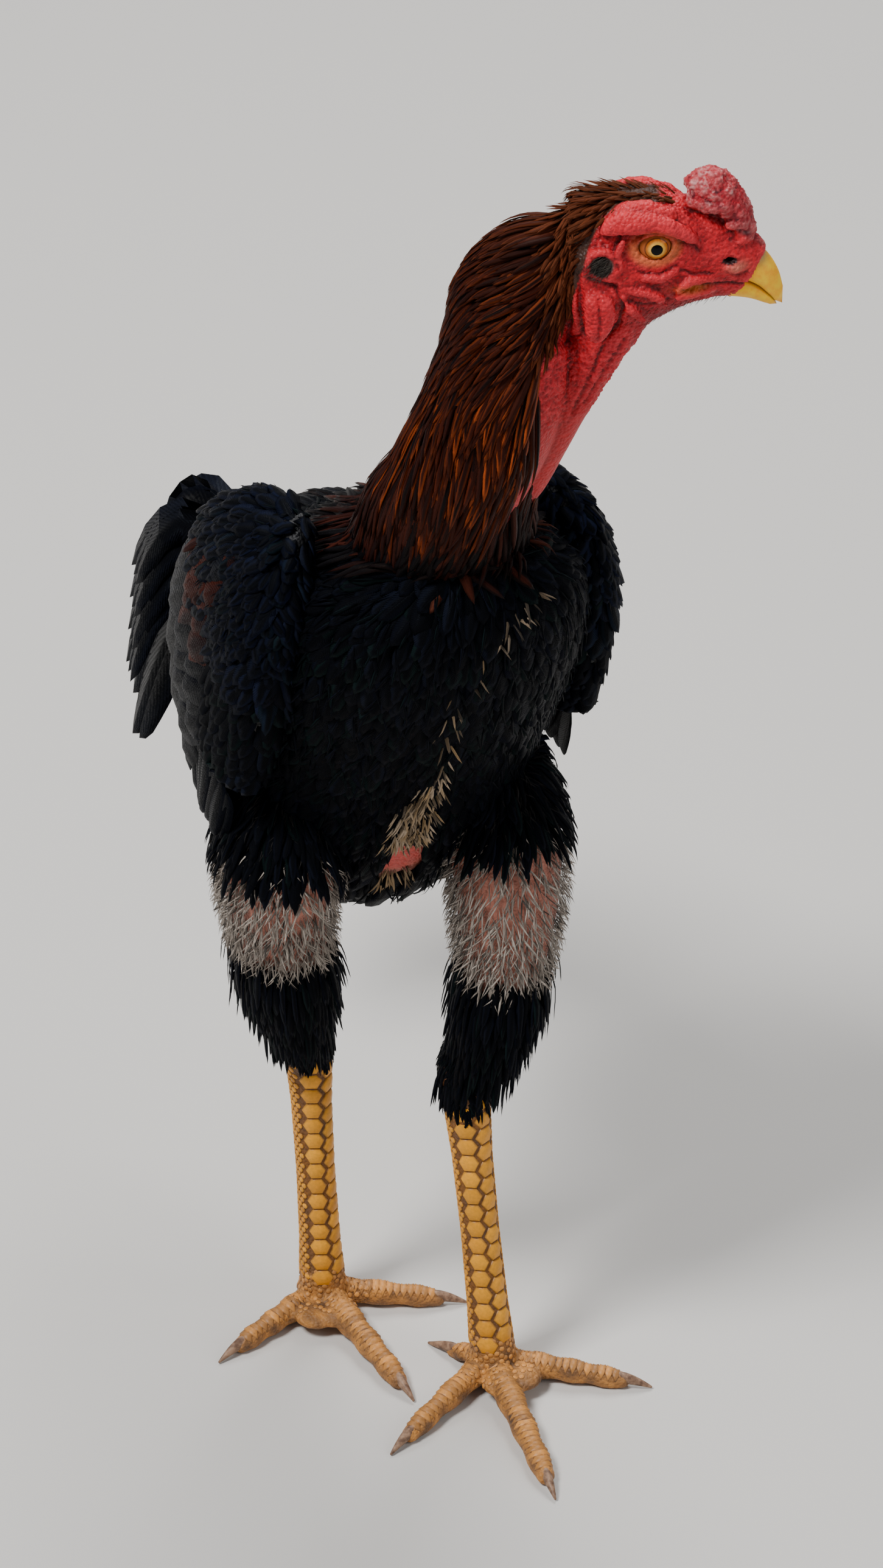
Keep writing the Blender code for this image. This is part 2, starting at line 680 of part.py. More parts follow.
def arched_vane(name, root, bend, tip, normal, width):
    """A vane in the open along an arch from its root past a bend point to its tip."""
    root, bend, tip = Vector(root), Vector(bend), Vector(tip)
    middles = []
    steps = len(ARCH_OUTLINE)
    for step in range(steps + 1):
        share = step / steps
        middles.append(root * (1 - share) ** 2 + bend * (2 * share * (1 - share)) + tip * share**2)
    return blade(name, middles, [normal] * (steps + 1), width, ARCH_OUTLINE)


def spread(ends, share):
    return ends[0] + (ends[1] - ends[0]) * share


def middle_normal(front, back):
    """The direction square to a section in the body's own middle plane, towards the tail."""
    return Vector((1.0, 0.0, 0.0)).cross(Vector(front) - Vector(back)).normalized()


def make_torso():
    """The trunk, without its saddle feathers."""
    facing = (middle_normal(NECK_BASE_FRONT, NECK_BASE_BACK), middle_normal(*TORSO_SECTIONS[-1][:2]))
    return loft("torso", TORSO_SECTIONS, TORSO_RINGS, TORSO_SIDES, facing=facing, fullness=BREAST_FULLNESS)


def head_direction(forward, up):
    return head_point(forward, 0.0, up) - head_point(0.0, 0.0, 0.0)


def neck_form(name, depth):
    """The neck from the shoulders to the nape, its back and sides drawn in by a depth."""
    top, under, half = SKULL_SECTIONS[0]
    nape = (
        head_point(NAPE_PLANE - SEAM, 0.0, under[1]),
        head_point(NAPE_PLANE - SEAM, 0.0, top[1]),
        half,
    )
    normal = -middle_normal(NECK_BASE_FRONT, NECK_BASE_BACK)
    shoulders = (*moved_along((NECK_BASE_FRONT, NECK_BASE_BACK), normal, SEAM), NECK_BASE_HALF_WIDTH)
    facing = (normal, head_direction(1.0, 0.0))
    sections = [shoulders]
    for front, back, half in NECK_SECTIONS:
        inwards = (Vector(front) - Vector(back)).normalized() * depth
        sections.append((front, tuple(Vector(back) + inwards), half - depth))
    sections.append(nape)
    return loft(name, sections, NECK_RINGS, NECK_SIDES, facing=facing), sections


def add_hackle(neck, sections, neighbours, cutters):
    """Tiers of pointed feathers down the back and sides of the neck, out over the shoulders."""
    chance = random.Random(SEED)
    full, _ = neck_form("neck_guide", 0.0)
    guide = Surface([full, *neighbours])
    rows = spline([(*front, *back, half) for front, back, half in sections], HACKLE_TIERS * 4 + 1)
    vanes = []
    for tier in range(HACKLE_TIERS):
        index = 4 * tier + 3
        row, below, above = rows[index], rows[index - 1], rows[min(index + 1, len(rows) - 1)]
        middle = Vector((row[0:3] + row[3:6]) / 2)
        depth = Vector((row[0:3] - row[3:6]) / 2)
        down = Vector((below[0:3] + below[3:6] - above[0:3] - above[3:6]) / 2).normalized()
        across = depth.cross(down).normalized() * row[6]
        for number in range(HACKLE_PER_TIER):
            share = 2 * (number + 0.5 * (tier % 2)) / (HACKLE_PER_TIER - 0.5) - 1
            angle = math.pi + HACKLE_SPREAD * share
            start = middle + depth * math.cos(angle) + across * math.sin(angle)
            length = HACKLE_LENGTHS[tier] * chance.uniform(0.92, 1.08)
            rise = HACKLE_RISES[tier] + VANE_STAGGER * (number % 2)
            sink = HACKLE_DEPTH + VANE_SINK - VANE_STAGGER * (number % 2)
            vanes.append(laid_vane("hackle", guide, start, down, length, HACKLE_WIDTHS[tier], sink, rise))
    bpy.data.objects.remove(full, do_unlink=True)
    fuse_vanes(neck, vanes)
    boolean(neck, cutters, "DIFFERENCE", "MANIFOLD")


def add_saddle(torso, tail):
    """Narrow feathers that lie back over the rump and stop clear of the tail."""
    chance = random.Random(SEED + 1)
    guide = Surface([torso])
    vanes = []
    for tier in range(SADDLE_TIERS):
        for number in range(SADDLE_PER_TIER):
            share = 2 * (number + 0.5 * (tier % 2)) / (SADDLE_PER_TIER - 0.5) - 1
            back = SADDLE_START[0] + SADDLE_TIER_STEP * tier
            start = Vector((SADDLE_HALF_SPAN * share, back, SADDLE_START[1] - SADDLE_SIDE_DROP * abs(share)))
            heading = Vector((SADDLE_HEADING[0] * share, *SADDLE_HEADING[1:]))
            length = SADDLE_LENGTH * chance.uniform(0.92, 1.05)
            rise = SADDLE_RISE + VANE_STAGGER * (number % 2)
            vane = laid_vane("saddle", guide, start, heading, length, SADDLE_WIDTH, VANE_SINK, rise)
            cut_clear(vane, [tail], "MANIFOLD")
            if vane.data.polygons:
                vanes.append(vane)
    fuse_vanes(torso, vanes)


def throat_sections(rows):
    """Round sections square to the throat's line."""
    line = np.array([(forward, up) for forward, up, _ in THROAT_LINE])
    along = np.gradient(line, axis=0)
    sections = []
    for row in rows:
        forward, up, radius = THROAT_LINE[row]
        across = Vector((-along[row][1], along[row][0])).normalized() * radius
        front = head_point(forward + across.x, 0.0, up + across.y)
        back = head_point(forward - across.x, 0.0, up - across.y)
        sections.append((front, back, radius * THROAT_FLATNESS))
    return sections


def make_head(neck):
    """Skull and face with brows, lids, ear rims and the top of the throat, then the beak's two halves.

    The plain form, a seam larger and without lids or sockets, cuts what sits on the head clear of it.
    """
    whole = head_sections(SKULL_SECTIONS)
    ends = (None, head_point(*BEAK_TIP))
    facing = (head_direction(1.0, 0.0), None)
    head = loft("head", whole, SKULL_RINGS, SKULL_SIDES, ends, facing)
    beak = loft("beak_upper", whole, SKULL_RINGS, SKULL_SIDES, ends, facing)
    pieces = [loft("throat_top", throat_sections(range(THROAT_HEAD_ROWS)), 5, THROAT_SIDES)]
    for side in (-1, 1):
        brow = (BROW_CENTRE[0], side * BROW_CENTRE[1], BROW_CENTRE[2])
        pieces.append(ellipsoid("brow", head_matrix(*brow), BROW_SIZE, 8, 6))
    fuse(head, pieces)
    plain = inflated(head, SEAM)
    pieces = []
    for side in (-1, 1):
        lid = head_matrix(0.0, side * LID_SPREAD, 0.0)
        pieces.append(ring_bead("lid", lid, LID_SIZE, LID_THICKNESS, 10, 4))
        ear = head_matrix(EAR_CENTRE[0], side * EAR_CENTRE[1], EAR_CENTRE[2])
        rim = EAR_RADIUS + EAR_RIM
        pieces.append(ring_bead("ear_rim", ear, (rim, rim), EAR_RIM, 8, 4))
    fuse(head, pieces)

    normal = head_direction(*BEAK_ROOT_NORMAL)
    root = head_point(BEAK_ROOT[0], 0.0, BEAK_ROOT[1])
    slice_off(head, root, normal)
    slice_off(beak, root + normal * SEAM, -normal)

    cutters = []
    gape_above = [(f, u + MOUTH_GROOVE / 2) for f, u in GAPE[:MOUTH_POINTS]]
    gape_below = [(f, u - MOUTH_GROOVE / 2) for f, u in reversed(GAPE[:MOUTH_POINTS])]
    for side in (-1, 1):
        ends = sorted((side * MOUTH_CORE_HALF_WIDTH, side * BEAK_CUT_ROOF))
        cutters.append(prism("mouth", gape_above + gape_below, *ends))
        nostril = head_matrix(NOSTRIL_CENTRE[0], side * NOSTRIL_CENTRE[1], NOSTRIL_CENTRE[2])
        cutters.append(ellipsoid("nostril", nostril, NOSTRIL_SIZE, 6, 4))
        socket = EYE_RADIUS + SEAM
        cutters.append(ellipsoid("socket", head_matrix(0.0, side * EYE_SPREAD, 0.0), (socket,) * 3, 10, 7))
    boolean(head, cutters, "DIFFERENCE")

    behind, ahead = GAPE[0][0], GAPE[-1][0]
    beyond = ahead + BEAK_CUT_REACH
    floor_line = [(ahead, BEAK_CUT_FLOOR), (behind, BEAK_CUT_FLOOR)]
    roof_line = [(beyond, GAPE[-1][1]), (beyond, BEAK_CUT_ROOF), (behind, BEAK_CUT_ROOF)]
    beak_lower = bpy.data.objects.new("beak_lower", beak.data.copy())
    bpy.context.scene.collection.objects.link(beak_lower)
    below = prism("below", [*GAPE, *floor_line], -BEAK_CUT_REACH, BEAK_CUT_REACH)
    boolean(beak, [below], "DIFFERENCE")
    lower_cut = [(f - SEAM, u - SEAM) for f, u in GAPE]
    above = prism("above", lower_cut + roof_line, -BEAK_CUT_REACH, BEAK_CUT_REACH)
    boolean(beak_lower, [above], "DIFFERENCE")
    cut_clear(head, [neck])
    return head, beak, beak_lower, plain


def make_eyes():
    eyes = []
    for side, name in ((1, "eye_left"), (-1, "eye_right")):
        eyes.append(ellipsoid(name, head_matrix(0.0, side * EYE_SPREAD, 0.0), (EYE_RADIUS,) * 3, 10, 7))
    return eyes


def make_ears(plain_head):
    """The bristly ear patch in each rim."""
    ears = []
    for side, name in ((1, "left"), (-1, "right")):
        place = (EAR_CENTRE[0], side * EAR_CENTRE[1], EAR_CENTRE[2])
        reach = EAR_RADIUS - SEAM
        patch = ellipsoid("ear_" + name, head_matrix(*place), (reach, EAR_BULGE, reach), 8, 5)
        cut_by(patch, plain_head)
        ears.append(patch)
    return ears


def make_earlobes(plain_head):
    """The red lobe that hangs below each ear."""
    lobes = []
    for side, name in ((1, "left"), (-1, "right")):
        sections = []
        for front, back, half, out in EARLOBE_SECTIONS:
            ahead = head_point(front[0], side * out, front[1])
            behind = head_point(back[0], side * out, back[1])
            sections.append((ahead, behind, half))
        first, last = EARLOBE_SECTIONS[0], EARLOBE_SECTIONS[-1]
        top = head_point((first[0][0] + first[1][0]) / 2, side * first[3], first[0][1] + EARLOBE_TOP_RISE)
        end = head_point((last[0][0] + last[1][0]) / 2, side * last[3], last[0][1] - EARLOBE_END_DROP)
        lobe = loft("earlobe_" + name, sections, 6, 8, (top, end))
        cut_by(lobe, plain_head)
        lobes.append(lobe)
    return lobes


def make_comb(plain_head):
    """The low lumpy comb: a core with three rows of bulbs on it."""
    sections = head_sections(COMB_SECTIONS)
    front = head_point(COMB_FRONT[0], 0.0, COMB_FRONT[1])
    rear = head_point(COMB_REAR[0], 0.0, COMB_REAR[1])
    comb = loft("comb", sections, 7, 8, (front, rear))
    pieces = []
    for row, lift in COMB_ROWS:
        for number, (root, crest, half) in enumerate(COMB_SECTIONS[1:-1]):
            forward = spread((root[0], crest[0]), lift)
            up = spread((root[1], crest[1]), lift)
            size = COMB_BULB * (1.0 + COMB_BULB_CHANGE * math.sin(COMB_BULB_RHYTHM * number + row))
            matrix = head_matrix(forward, row * half * COMB_ROW_SPREAD, up)
            pieces.append(ellipsoid("bulb", matrix, (size, size * 1.1, size), 6, 4))
    fuse(comb, pieces)
    cut_by(comb, plain_head)
    return comb


def make_throat(neck):
    """The bare front of the neck below the jaw."""
    rows = range(THROAT_HEAD_ROWS - 1, len(THROAT_LINE))
    sections = throat_sections(rows)
    front, back, half = sections[0]
    along = (Vector(sections[1][0]) + Vector(sections[1][1])) / 2 - (Vector(front) + Vector(back)) / 2
    square = (Vector(front) - Vector(back)).cross(along).cross(Vector(front) - Vector(back))
    sections[0] = (*moved_along((front, back), square, SEAM), half)
    throat = loft("throat", sections, 8, THROAT_SIDES)
    cut_clear(throat, [neck])
    return throat


def mirrored(point, side):
    return side * point[0], point[1], point[2]


def wing_point(down, back, side):
    """A point on the outer face of the folded wing, as shares down it and back across it."""
    rows = spline([(*front, *rear, half) for front, rear, half in WING_SECTIONS], 101)
    row = rows[min(max(round(down * 100), 0), 100)]
    middle = Vector(row[0:3]).lerp(Vector(row[3:6]), back)
    out = Vector(WING_OUTWARDS).normalized() * row[6] * math.sqrt(max(1 - (2 * back - 1) ** 2, 0.0))
    return Vector(mirrored(middle + out, side))


def flight_vanes(guide, side, number, roots, tips, width, depth, chance):
    """A fan of feathers between a line of roots and a line of tips on the folded wing."""
    vanes = []
    for index in range(number):
        share = index / (number - 1)
        start = wing_point(spread(roots[0], share), spread(roots[1], share), side)
        tip = wing_point(spread(tips[0], share), spread(tips[1], share), side)
        length = (tip - start).length * chance.uniform(1.0 - FLIGHT_CHANGE, 1.0 + FLIGHT_CHANGE)
        rise = VANE_STAGGER * (index % 2)
        sink = depth + VANE_SINK - rise
        vanes.append(laid_vane("flight", guide, start, tip - start, length, width, sink, rise))
    return vanes


def make_wings(neighbours):
    """Folded wings: a core along the arm, with primaries, secondaries and two tiers of coverts."""
    wings = []
    for side, name in ((1, "wing_left"), (-1, "wing_right")):
        chance = random.Random(SEED + 2)
        sections = [(mirrored(a, side), mirrored(b, side), half) for a, b, half in WING_SECTIONS]
        top, tip = mirrored(WING_TOP, side), mirrored(WING_TIP, side)
        full = loft("wing_guide", sections, WING_RINGS * 2, WING_SIDES * 2, (top, tip))
        guide = Surface([full])
        core = []
        for front, back, half in sections[:WING_CORE_SECTIONS]:
            rear = tuple(Vector(front).lerp(Vector(back), WING_CORE_CHORD))
            core.append((front, rear, half * WING_CORE_THICKNESS))
        wing = loft(name, core, WING_RINGS, WING_SIDES, (top, None))
        depth = WING_SECTIONS[3][2] * (1 - WING_CORE_THICKNESS)
        vanes = []
        for number, roots, tips, width in (
            (PRIMARIES, PRIMARY_ROOTS, PRIMARY_TIPS, PRIMARY_WIDTH),
            (SECONDARIES, SECONDARY_ROOTS, SECONDARY_TIPS, SECONDARY_WIDTH),
        ):
            vanes += flight_vanes(guide, side, number, roots, tips, width, depth, chance)
        for tier in range(COVERT_TIERS):
            downs = [down - COVERT_TIER_STEP[0] * tier for down in COVERT_ROOTS[0]]
            backs = [back - COVERT_TIER_STEP[1] * tier for back in COVERT_ROOTS[1]]
            roots = (downs, backs)
            tip_downs = [down + COVERT_REACH * COVERT_TIP_DROP for down in downs]
            tips = (tip_downs, [back + COVERT_REACH for back in backs])
            vanes += flight_vanes(guide, side, COVERTS, roots, tips, COVERT_WIDTH, depth, chance)
        bpy.data.objects.remove(full, do_unlink=True)
        fuse_vanes(wing, vanes)
        cut_clear(wing, neighbours, "MANIFOLD")
        wings.append(wing)
    return wings


def tail_path(places, out, fan, swings):
    """Root, bend and tip of a tail feather from (back, up) places, fanned out and swung to the right."""
    path = []
    for (back, up), wide, swing in zip(places, fan, swings):
        path.append(Vector((out * wide + TAIL_SWING * swing, back, up)))
    return path


def make_tail():
    """The tail's root, with arched feathers on both sides, two sickles and a tier of coverts."""
    under, upper, half = TORSO_SECTIONS[-1]
    normal = middle_normal(under, upper)
    root = (*moved_along((under, upper), normal, SEAM), half)
    facing = (normal, None)
    tail = loft("tail", [root, *TAIL_SECTIONS], TAIL_RINGS, TAIL_SIDES, (None, TAIL_END), facing)
    vanes = []
    for side in (-1, 1):
        slope = Vector((side, 0.0, 0.35)).normalized()
        for number, (bend, tip) in enumerate(zip(TAIL_BENDS, TAIL_TIPS)):
            out = side * TAIL_STEP * (number + 1.0)
            root_place = [TAIL_ROOT[axis] + TAIL_ROOT_STEP[axis] * number for axis in range(2)]
            path = tail_path((root_place, bend, tip), out, TAIL_FAN, TAIL_SWINGS)
            vanes.append(arched_vane("tail_feather", *path, slope, TAIL_WIDTH))
        bend, tip, width = SICKLES[side]
        swings = (0.0, TAIL_SWINGS[1], SICKLE_SWING)
        path = tail_path((TAIL_ROOT, bend, tip), side * TAIL_STEP, SICKLE_FAN, swings)
        path[1].x += side * SICKLE_BEND_OUT
        vanes.append(arched_vane("sickle", *path, slope, width))
        for number in range(TAIL_COVERTS):
            out = side * (TAIL_COVERT_OUT[0] + TAIL_COVERT_OUT[1] * number)
            places = []
            for place, change in TAIL_COVERT_PATH:
                places.append([place[axis] + change[axis] * number for axis in range(2)])
            path = tail_path(places, out, TAIL_COVERT_FAN, TAIL_COVERT_SWINGS)
            vanes.append(arched_vane("tail_covert", *path, slope, TAIL_COVERT_WIDTH))
    face = Vector(root[0]) + normal * TAIL_ROOT_INSET
    for vane in vanes:
        slice_off(vane, face, -normal)
    fuse_vanes(tail, vanes)
    return tail


def leg_frame(side):
    """The way the foot points, the front of the shank, and the shank's own direction."""
    heading = Vector((*FOOT_HEADING[side], 0.0)).normalized()
    up = (Vector(HOCK[side]) - Vector(FOOT_ROOT[side])).normalized()
    front = (heading - up * heading.dot(up)).normalized()
    return heading, front, up


def make_thigh(side, torso):
    heading, front, up = leg_frame(side)
    sections = []
    for x, y, z, half_width, half_depth in THIGH_LINE[side]:
        middle = Vector((x, y, z))
        sections.append((middle + heading * half_depth, middle - heading * half_depth, half_width))
    hock = Vector(HOCK[side]) + up * SEAM
    sections.append((hock + front * HOCK_HALF_DEPTH, hock - front * HOCK_HALF_DEPTH, HOCK_HALF_WIDTH))
    thigh = loft("thigh_" + side, sections, THIGH_RINGS, THIGH_SIDES, facing=(None, -up))
    cut_clear(thigh, [torso])
    return thigh


def scute(place, normal, up, half_width, half_height, corners=6):
    """A plate with a domed face, sunk in the surface it grows from."""
    up = (up - normal * up.dot(normal)).normalized()
    across = normal.cross(up)
    points = []
    for depth, grow in ((SCUTE_PROUD - SCUTE_THICKNESS, SCUTE_SUNK_SIZE), (SCUTE_PROUD * 0.3, 1.0)):
        for corner in range(corners):
            angle = 2 * math.pi * (corner + 0.5 * (corners == 4)) / corners
            reach = half_height * math.sin(angle) * SCUTE_STRETCH
            flat = across * (half_width * math.cos(angle)) + up * reach
            points.append(place + flat * grow + normal * depth)
    points.append(place + normal * SCUTE_PROUD)
    faces = [tuple(reversed(range(corners)))]
    for corner in range(corners):
        after = (corner + 1) % corners
        faces.append((corner, after, corners + after, corners + corner))
        faces.append((corners + corner, corners + after, 2 * corners))
    return object_from("scute", points, faces)


def make_shank(side):
    _, front, up = leg_frame(side)
    foot, hock = Vector(FOOT_ROOT[side]), Vector(HOCK[side])
    sections = []
    for place, half_width, half_depth in SHANK_PROFILE:
        middle = foot.lerp(hock, place)
        sections.append((middle + front * half_depth, middle - front * half_depth, half_width))
    shank = loft("shank_" + side, sections, SHANK_RINGS, SHANK_SIDES, facing=(up, up))
    guide = Surface([shank])
    across = up.cross(front)
    plates = []
    pitch = (hock - foot).length / (SCUTES_PER_ROW + 1.0)
    for row in (-1, 1):
        for number in range(SCUTES_PER_ROW):
            height = pitch * (number + SCUTE_FIRST + SCUTE_ROW_SHIFT * row)
            out = front * math.cos(SCUTE_ROW_ANGLE) + across * (row * math.sin(SCUTE_ROW_ANGLE))
            place, normal = guide.nearest(foot + up * height + out * SHANK_PROFILE[-1][2])
            plates.append(scute(place, normal, up, SCUTE_HALF_WIDTH, pitch * SCUTE_FILL))
    fuse(shank, plates)
    return shank


def toe_frame(side, toe):
    """Where a toe starts, the way it points along the floor, its length, its radius and its joints."""
    x, y, radius, joints = TOES[side][toe]
    along = Vector((x, y, 0.0))
    length = along.length
    along.normalize()
    root = Vector(FOOT_ROOT[side])
    start = Vector((root.x, root.y, TOE_ROOT_HEIGHT)) + along * TOE_START
    return start, along, length - TOE_START, radius, joints


def toe_section(middle, along, radius):
    up = Vector((0.0, 0.0, 1.0))
    square = (up - along * up.dot(along)).normalized()
    return middle + square * radius, middle - square * radius, radius * TOE_FLATNESS


def make_foot(side):
    """The pad below the shank, with a short stub where each toe starts."""
    _, front, up = leg_frame(side)
    root = Vector(FOOT_ROOT[side])
    pad = ellipsoid("foot_" + side, Matrix.Translation((root.x, root.y, PAD_HEIGHT)), PAD_SIZE, 8, 5)
    pieces = []
    low = SHANK_PROFILE[0]
    neck = []
    for drop, grow in FOOT_NECK:
        middle = root - up * drop
        depth = low[2] * grow
        neck.append((middle + front * depth, middle - front * depth, low[1] * grow))
    pieces.append(loft("neck_of_foot", neck, 4, SHANK_SIDES, facing=(-up, -up)))
    for toe in TOES[side]:
        start, along, _, radius, _ = toe_frame(side, toe)
        inner = start - along * (TOE_START * TOE_STUB)
        stub = [toe_section(inner, along, radius), toe_section(start - along * SEAM, along, radius)]
        pieces.append(loft("stub", stub, 2, TOE_SIDES, facing=(along, along)))
    fuse(pad, pieces)
    slice_off(pad, root - up * SEAM, up)
    slice_off(pad, (0.0, 0.0, 0.0), (0.0, 0.0, -1.0))
    return pad


def make_toe(side, toe):
    """A toe with a pad under each joint, flat where it stands, and its claw."""
    start, along, length, radius, joints = toe_frame(side, toe)
    claw_start = length - CLAW_LENGTH
    sections = []
    for place in np.linspace(0.0, 1.0, TOE_RINGS):
        size = radius * (1.0 - (1.0 - TOE_TAPER) * place)
        swell = TOE_PAD_SWELL * (0.5 - 0.5 * math.cos(2 * math.pi * joints * place))
        height = TOE_ROOT_HEIGHT * (1.0 - place) + (size - TOE_PAD_SWELL * 0.4) * place
        middle = start + along * (claw_start * place)
        middle.z = height
        sections.append(toe_section(middle, along, size + swell))
    body = loft("toe_{}_{}".format(toe, side), sections, TOE_RINGS, TOE_SIDES, facing=(along, along))
    plates = []
    guide = Surface([body])
    count = round(claw_start / TOE_SCUTE_PITCH)
    for number in range(count):
        share = (number + 0.6) / count
        above = Vector((0.0, 0.0, 2.0 * TOE_ROOT_HEIGHT))
        place, normal = guide.nearest(start + along * (claw_start * share) + above)
        taper = 1.0 - (1.0 - TOE_TAPER) * share
        half_length = claw_start / count * TOE_SCUTE_FILL
        plates.append(scute(place, normal, along, radius * TOE_SCUTE_WIDTH * taper, half_length, 4))
    if plates:
        fuse(body, plates)
    slice_off(body, (0.0, 0.0, 0.0), (0.0, 0.0, -1.0))
    claw = []
    last = sections[-1]
    middle = (last[0] + last[1]) / 2
    for place in np.linspace(0.0, 1.0, 5)[:-1]:
        here = middle + along * (SEAM + CLAW_LENGTH * place)
        here.z += CLAW_RISE - CLAW_DROOP * place**2
        claw.append(toe_section(here, along, CLAW_RADIUS * (1.0 - CLAW_TAPER * place)))
    tip = middle + along * CLAW_LENGTH - Vector((0.0, 0.0, CLAW_DROOP))
    tip.z = max(tip.z, CLAW_TIP_HEIGHT)
    nail = loft("claw_{}_{}".format(toe, side), claw, 4, CLAW_SIDES, (None, tip), (along, None))
    return body, nail


def finish(obj, material, parent, collection):
    """Gives a part its material, smooth shading and its place in the bird's collection."""
    obj.data.materials.clear()
    obj.data.materials.append(material)
    obj.data.shade_smooth()
    obj.data.set_sharp_from_angle(angle=SHARP_EDGE)
    for owner in list(obj.users_collection):
        owner.objects.unlink(obj)
    collection.objects.link(obj)
    obj.parent = parent


def main():
    clear_scene()
    collection = bpy.data.collections.new("rooster")
    bpy.context.scene.collection.children.link(collection)
    place = bpy.data.objects.new("rooster", None)
    place.location = BIRD_PLACE
    collection.objects.link(place)

    torso = make_torso()
    neck, neck_sections = neck_form("neck", HACKLE_DEPTH)
    head, beak_upper, beak_lower, plain_head = make_head(neck)
    throat = make_throat(neck)
    cut_clear(throat, [torso])
    comb = make_comb(plain_head)
    ears = make_ears(plain_head)
    lobes = make_earlobes(plain_head)
    cutters = [inflated(torso, SEAM), inflated(throat, SEAM), plain_head]
    add_hackle(neck, neck_sections, [torso], cutters)
    thighs = [make_thigh(side, torso) for side in LEG_SIDES]
    tail = make_tail()
    add_saddle(torso, tail)
    wings = make_wings([torso, neck, tail, *thighs])
    parts = [(torso, "black_plumage"), (neck, "hackle_plumage"), (tail, "black_plumage")]
    parts += [(head, "face_skin"), (throat, "face_skin"), (comb, "comb_skin")]
    parts += [(beak_upper, "beak_horn"), (beak_lower, "beak_horn")]
    parts += [(eye, "eye") for eye in make_eyes()]
    parts += [(ear, "ear_bristle") for ear in ears]
    parts += [(lobe, "face_skin") for lobe in lobes]
    parts += [(wing, "black_plumage") for wing in wings]
    parts += [(thigh, "thigh_down") for thigh in thighs]
    for side in LEG_SIDES:
        parts.append((make_shank(side), "leg_scale"))
        parts.append((make_foot(side), "leg_scale"))
        for toe in TOES[side]:
            body, nail = make_toe(side, toe)
            parts.append((body, "leg_scale"))
            parts.append((nail, "claw_horn"))
    materials = {name: make_material(name) for name in FINISHES}
    for obj, finish_name in parts:
        finish(obj, materials[finish_name], place, collection)


main()
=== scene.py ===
"""The looks of a standing gamecock: skin, plumage, face, beak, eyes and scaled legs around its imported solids.

The bird faces -Y with +Z up and +X on its own left. Sizes are in metres.
"""

import math
import random

import bpy
import numpy as np
from mathutils import Matrix, Vector, noise
from mathutils.bvhtree import BVHTree
from mathutils.interpolate import poly_3d_calc


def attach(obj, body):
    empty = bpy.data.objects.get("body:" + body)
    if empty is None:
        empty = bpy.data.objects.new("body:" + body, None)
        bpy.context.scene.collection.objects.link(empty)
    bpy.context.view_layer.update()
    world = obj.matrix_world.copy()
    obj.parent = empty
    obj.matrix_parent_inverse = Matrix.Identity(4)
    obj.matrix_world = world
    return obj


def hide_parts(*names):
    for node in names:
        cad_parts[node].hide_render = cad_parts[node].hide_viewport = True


bl_info = {
    "name": "Gamecock",
    "version": (1, 0, 0),
    "blender": (4, 5, 0),
    "location": "View3D > Sidebar > Gamecock",
    "description": "Builds the skin, plumage and horn of a standing gamecock around its solids",
    "category": "Object",
}

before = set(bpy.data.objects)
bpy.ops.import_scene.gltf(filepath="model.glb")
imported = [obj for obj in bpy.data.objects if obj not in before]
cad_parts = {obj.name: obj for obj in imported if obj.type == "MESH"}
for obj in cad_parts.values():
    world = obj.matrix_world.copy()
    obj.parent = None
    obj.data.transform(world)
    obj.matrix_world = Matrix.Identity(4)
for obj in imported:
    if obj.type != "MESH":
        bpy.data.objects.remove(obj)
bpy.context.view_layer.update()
TAU = 2 * math.pi


def mm(sizes):
    """Millimetres in metres, to a tenth: one size, a table or a named set of them."""
    if isinstance(sizes, dict):
        return {key: mm(value) for key, value in sizes.items()}
    if isinstance(sizes, tuple):
        return tuple(mm(value) for value in sizes)
    return round(sizes * 10) / 10000


def clamp(value):
    return min(max(value, 0), 1)


# Where the middle of the two feet stands, as in the solids
PLACE = Vector((-0.0134, -0.057, 0))
SIDES = ((1, "left"), (-1, "right"))

# Head frame: a point between the eyes and the way the beak points
HEAD_CENTRE = Vector((0.068, -0.086, 0.5906)) + PLACE
HEAD_YAW = math.radians(66)
HEAD_AHEAD = Vector((math.sin(HEAD_YAW), -math.cos(HEAD_YAW), 0))
HEAD_LEFT = Vector((math.cos(HEAD_YAW), math.sin(HEAD_YAW), 0))
UP = Vector((0, 0, 1))

# Torso: breast point, back point and half width of each section, from the neck to the tail root
TORSO_SECTIONS = mm((
    ((0, -75, 449), (0, 0, 441), 36),
    ((0, -84, 425), (0, 34, 424), 56),
    ((0, -78, 395), (0, 62, 407), 65),
    ((0, -62, 356), (0, 86, 393), 68),
    ((0, -40, 314), (0, 106, 379), 67),
    ((0, -17, 268), (0, 125, 367), 64),
    ((0, 17, 231), (0, 140, 359), 57),
    ((0, 64, 229), (0, 152, 352), 46),
    ((0, 105, 259), (0, 165, 346), 34),
    ((0, 135, 292), (0, 177, 341), 22),
    ((0, 156, 289), (0, 184, 337), 21),
    ((0, 171, 296), (0, 191, 324), 13),
))
BREAST_FULLNESS = 0.28
# How deep the skin lies under the plumage
BODY_COAT = 0.004
NECK_COAT = 0.006
THIGH_COAT = 0.0055

# Neck: front point, back point and half width, from the shoulders up
NECK_SECTIONS = mm((
    ((0, -75, 449), (0, 0, 441), 36),
    ((8, -83, 474), (-10, -18, 468), 33),
    ((23, -86, 497), (-14, -36, 490), 31.5),
    ((32, -85, 520), (-8, -43, 514), 30.5),
    ((38, -80, 540.5), (-4, -50, 540), 29),
    ((39.5, -74.5, 542.5), (0, -54, 568), 27),
    ((39.6, -73.8, 543.8), (16, -62, 590), 22),
))

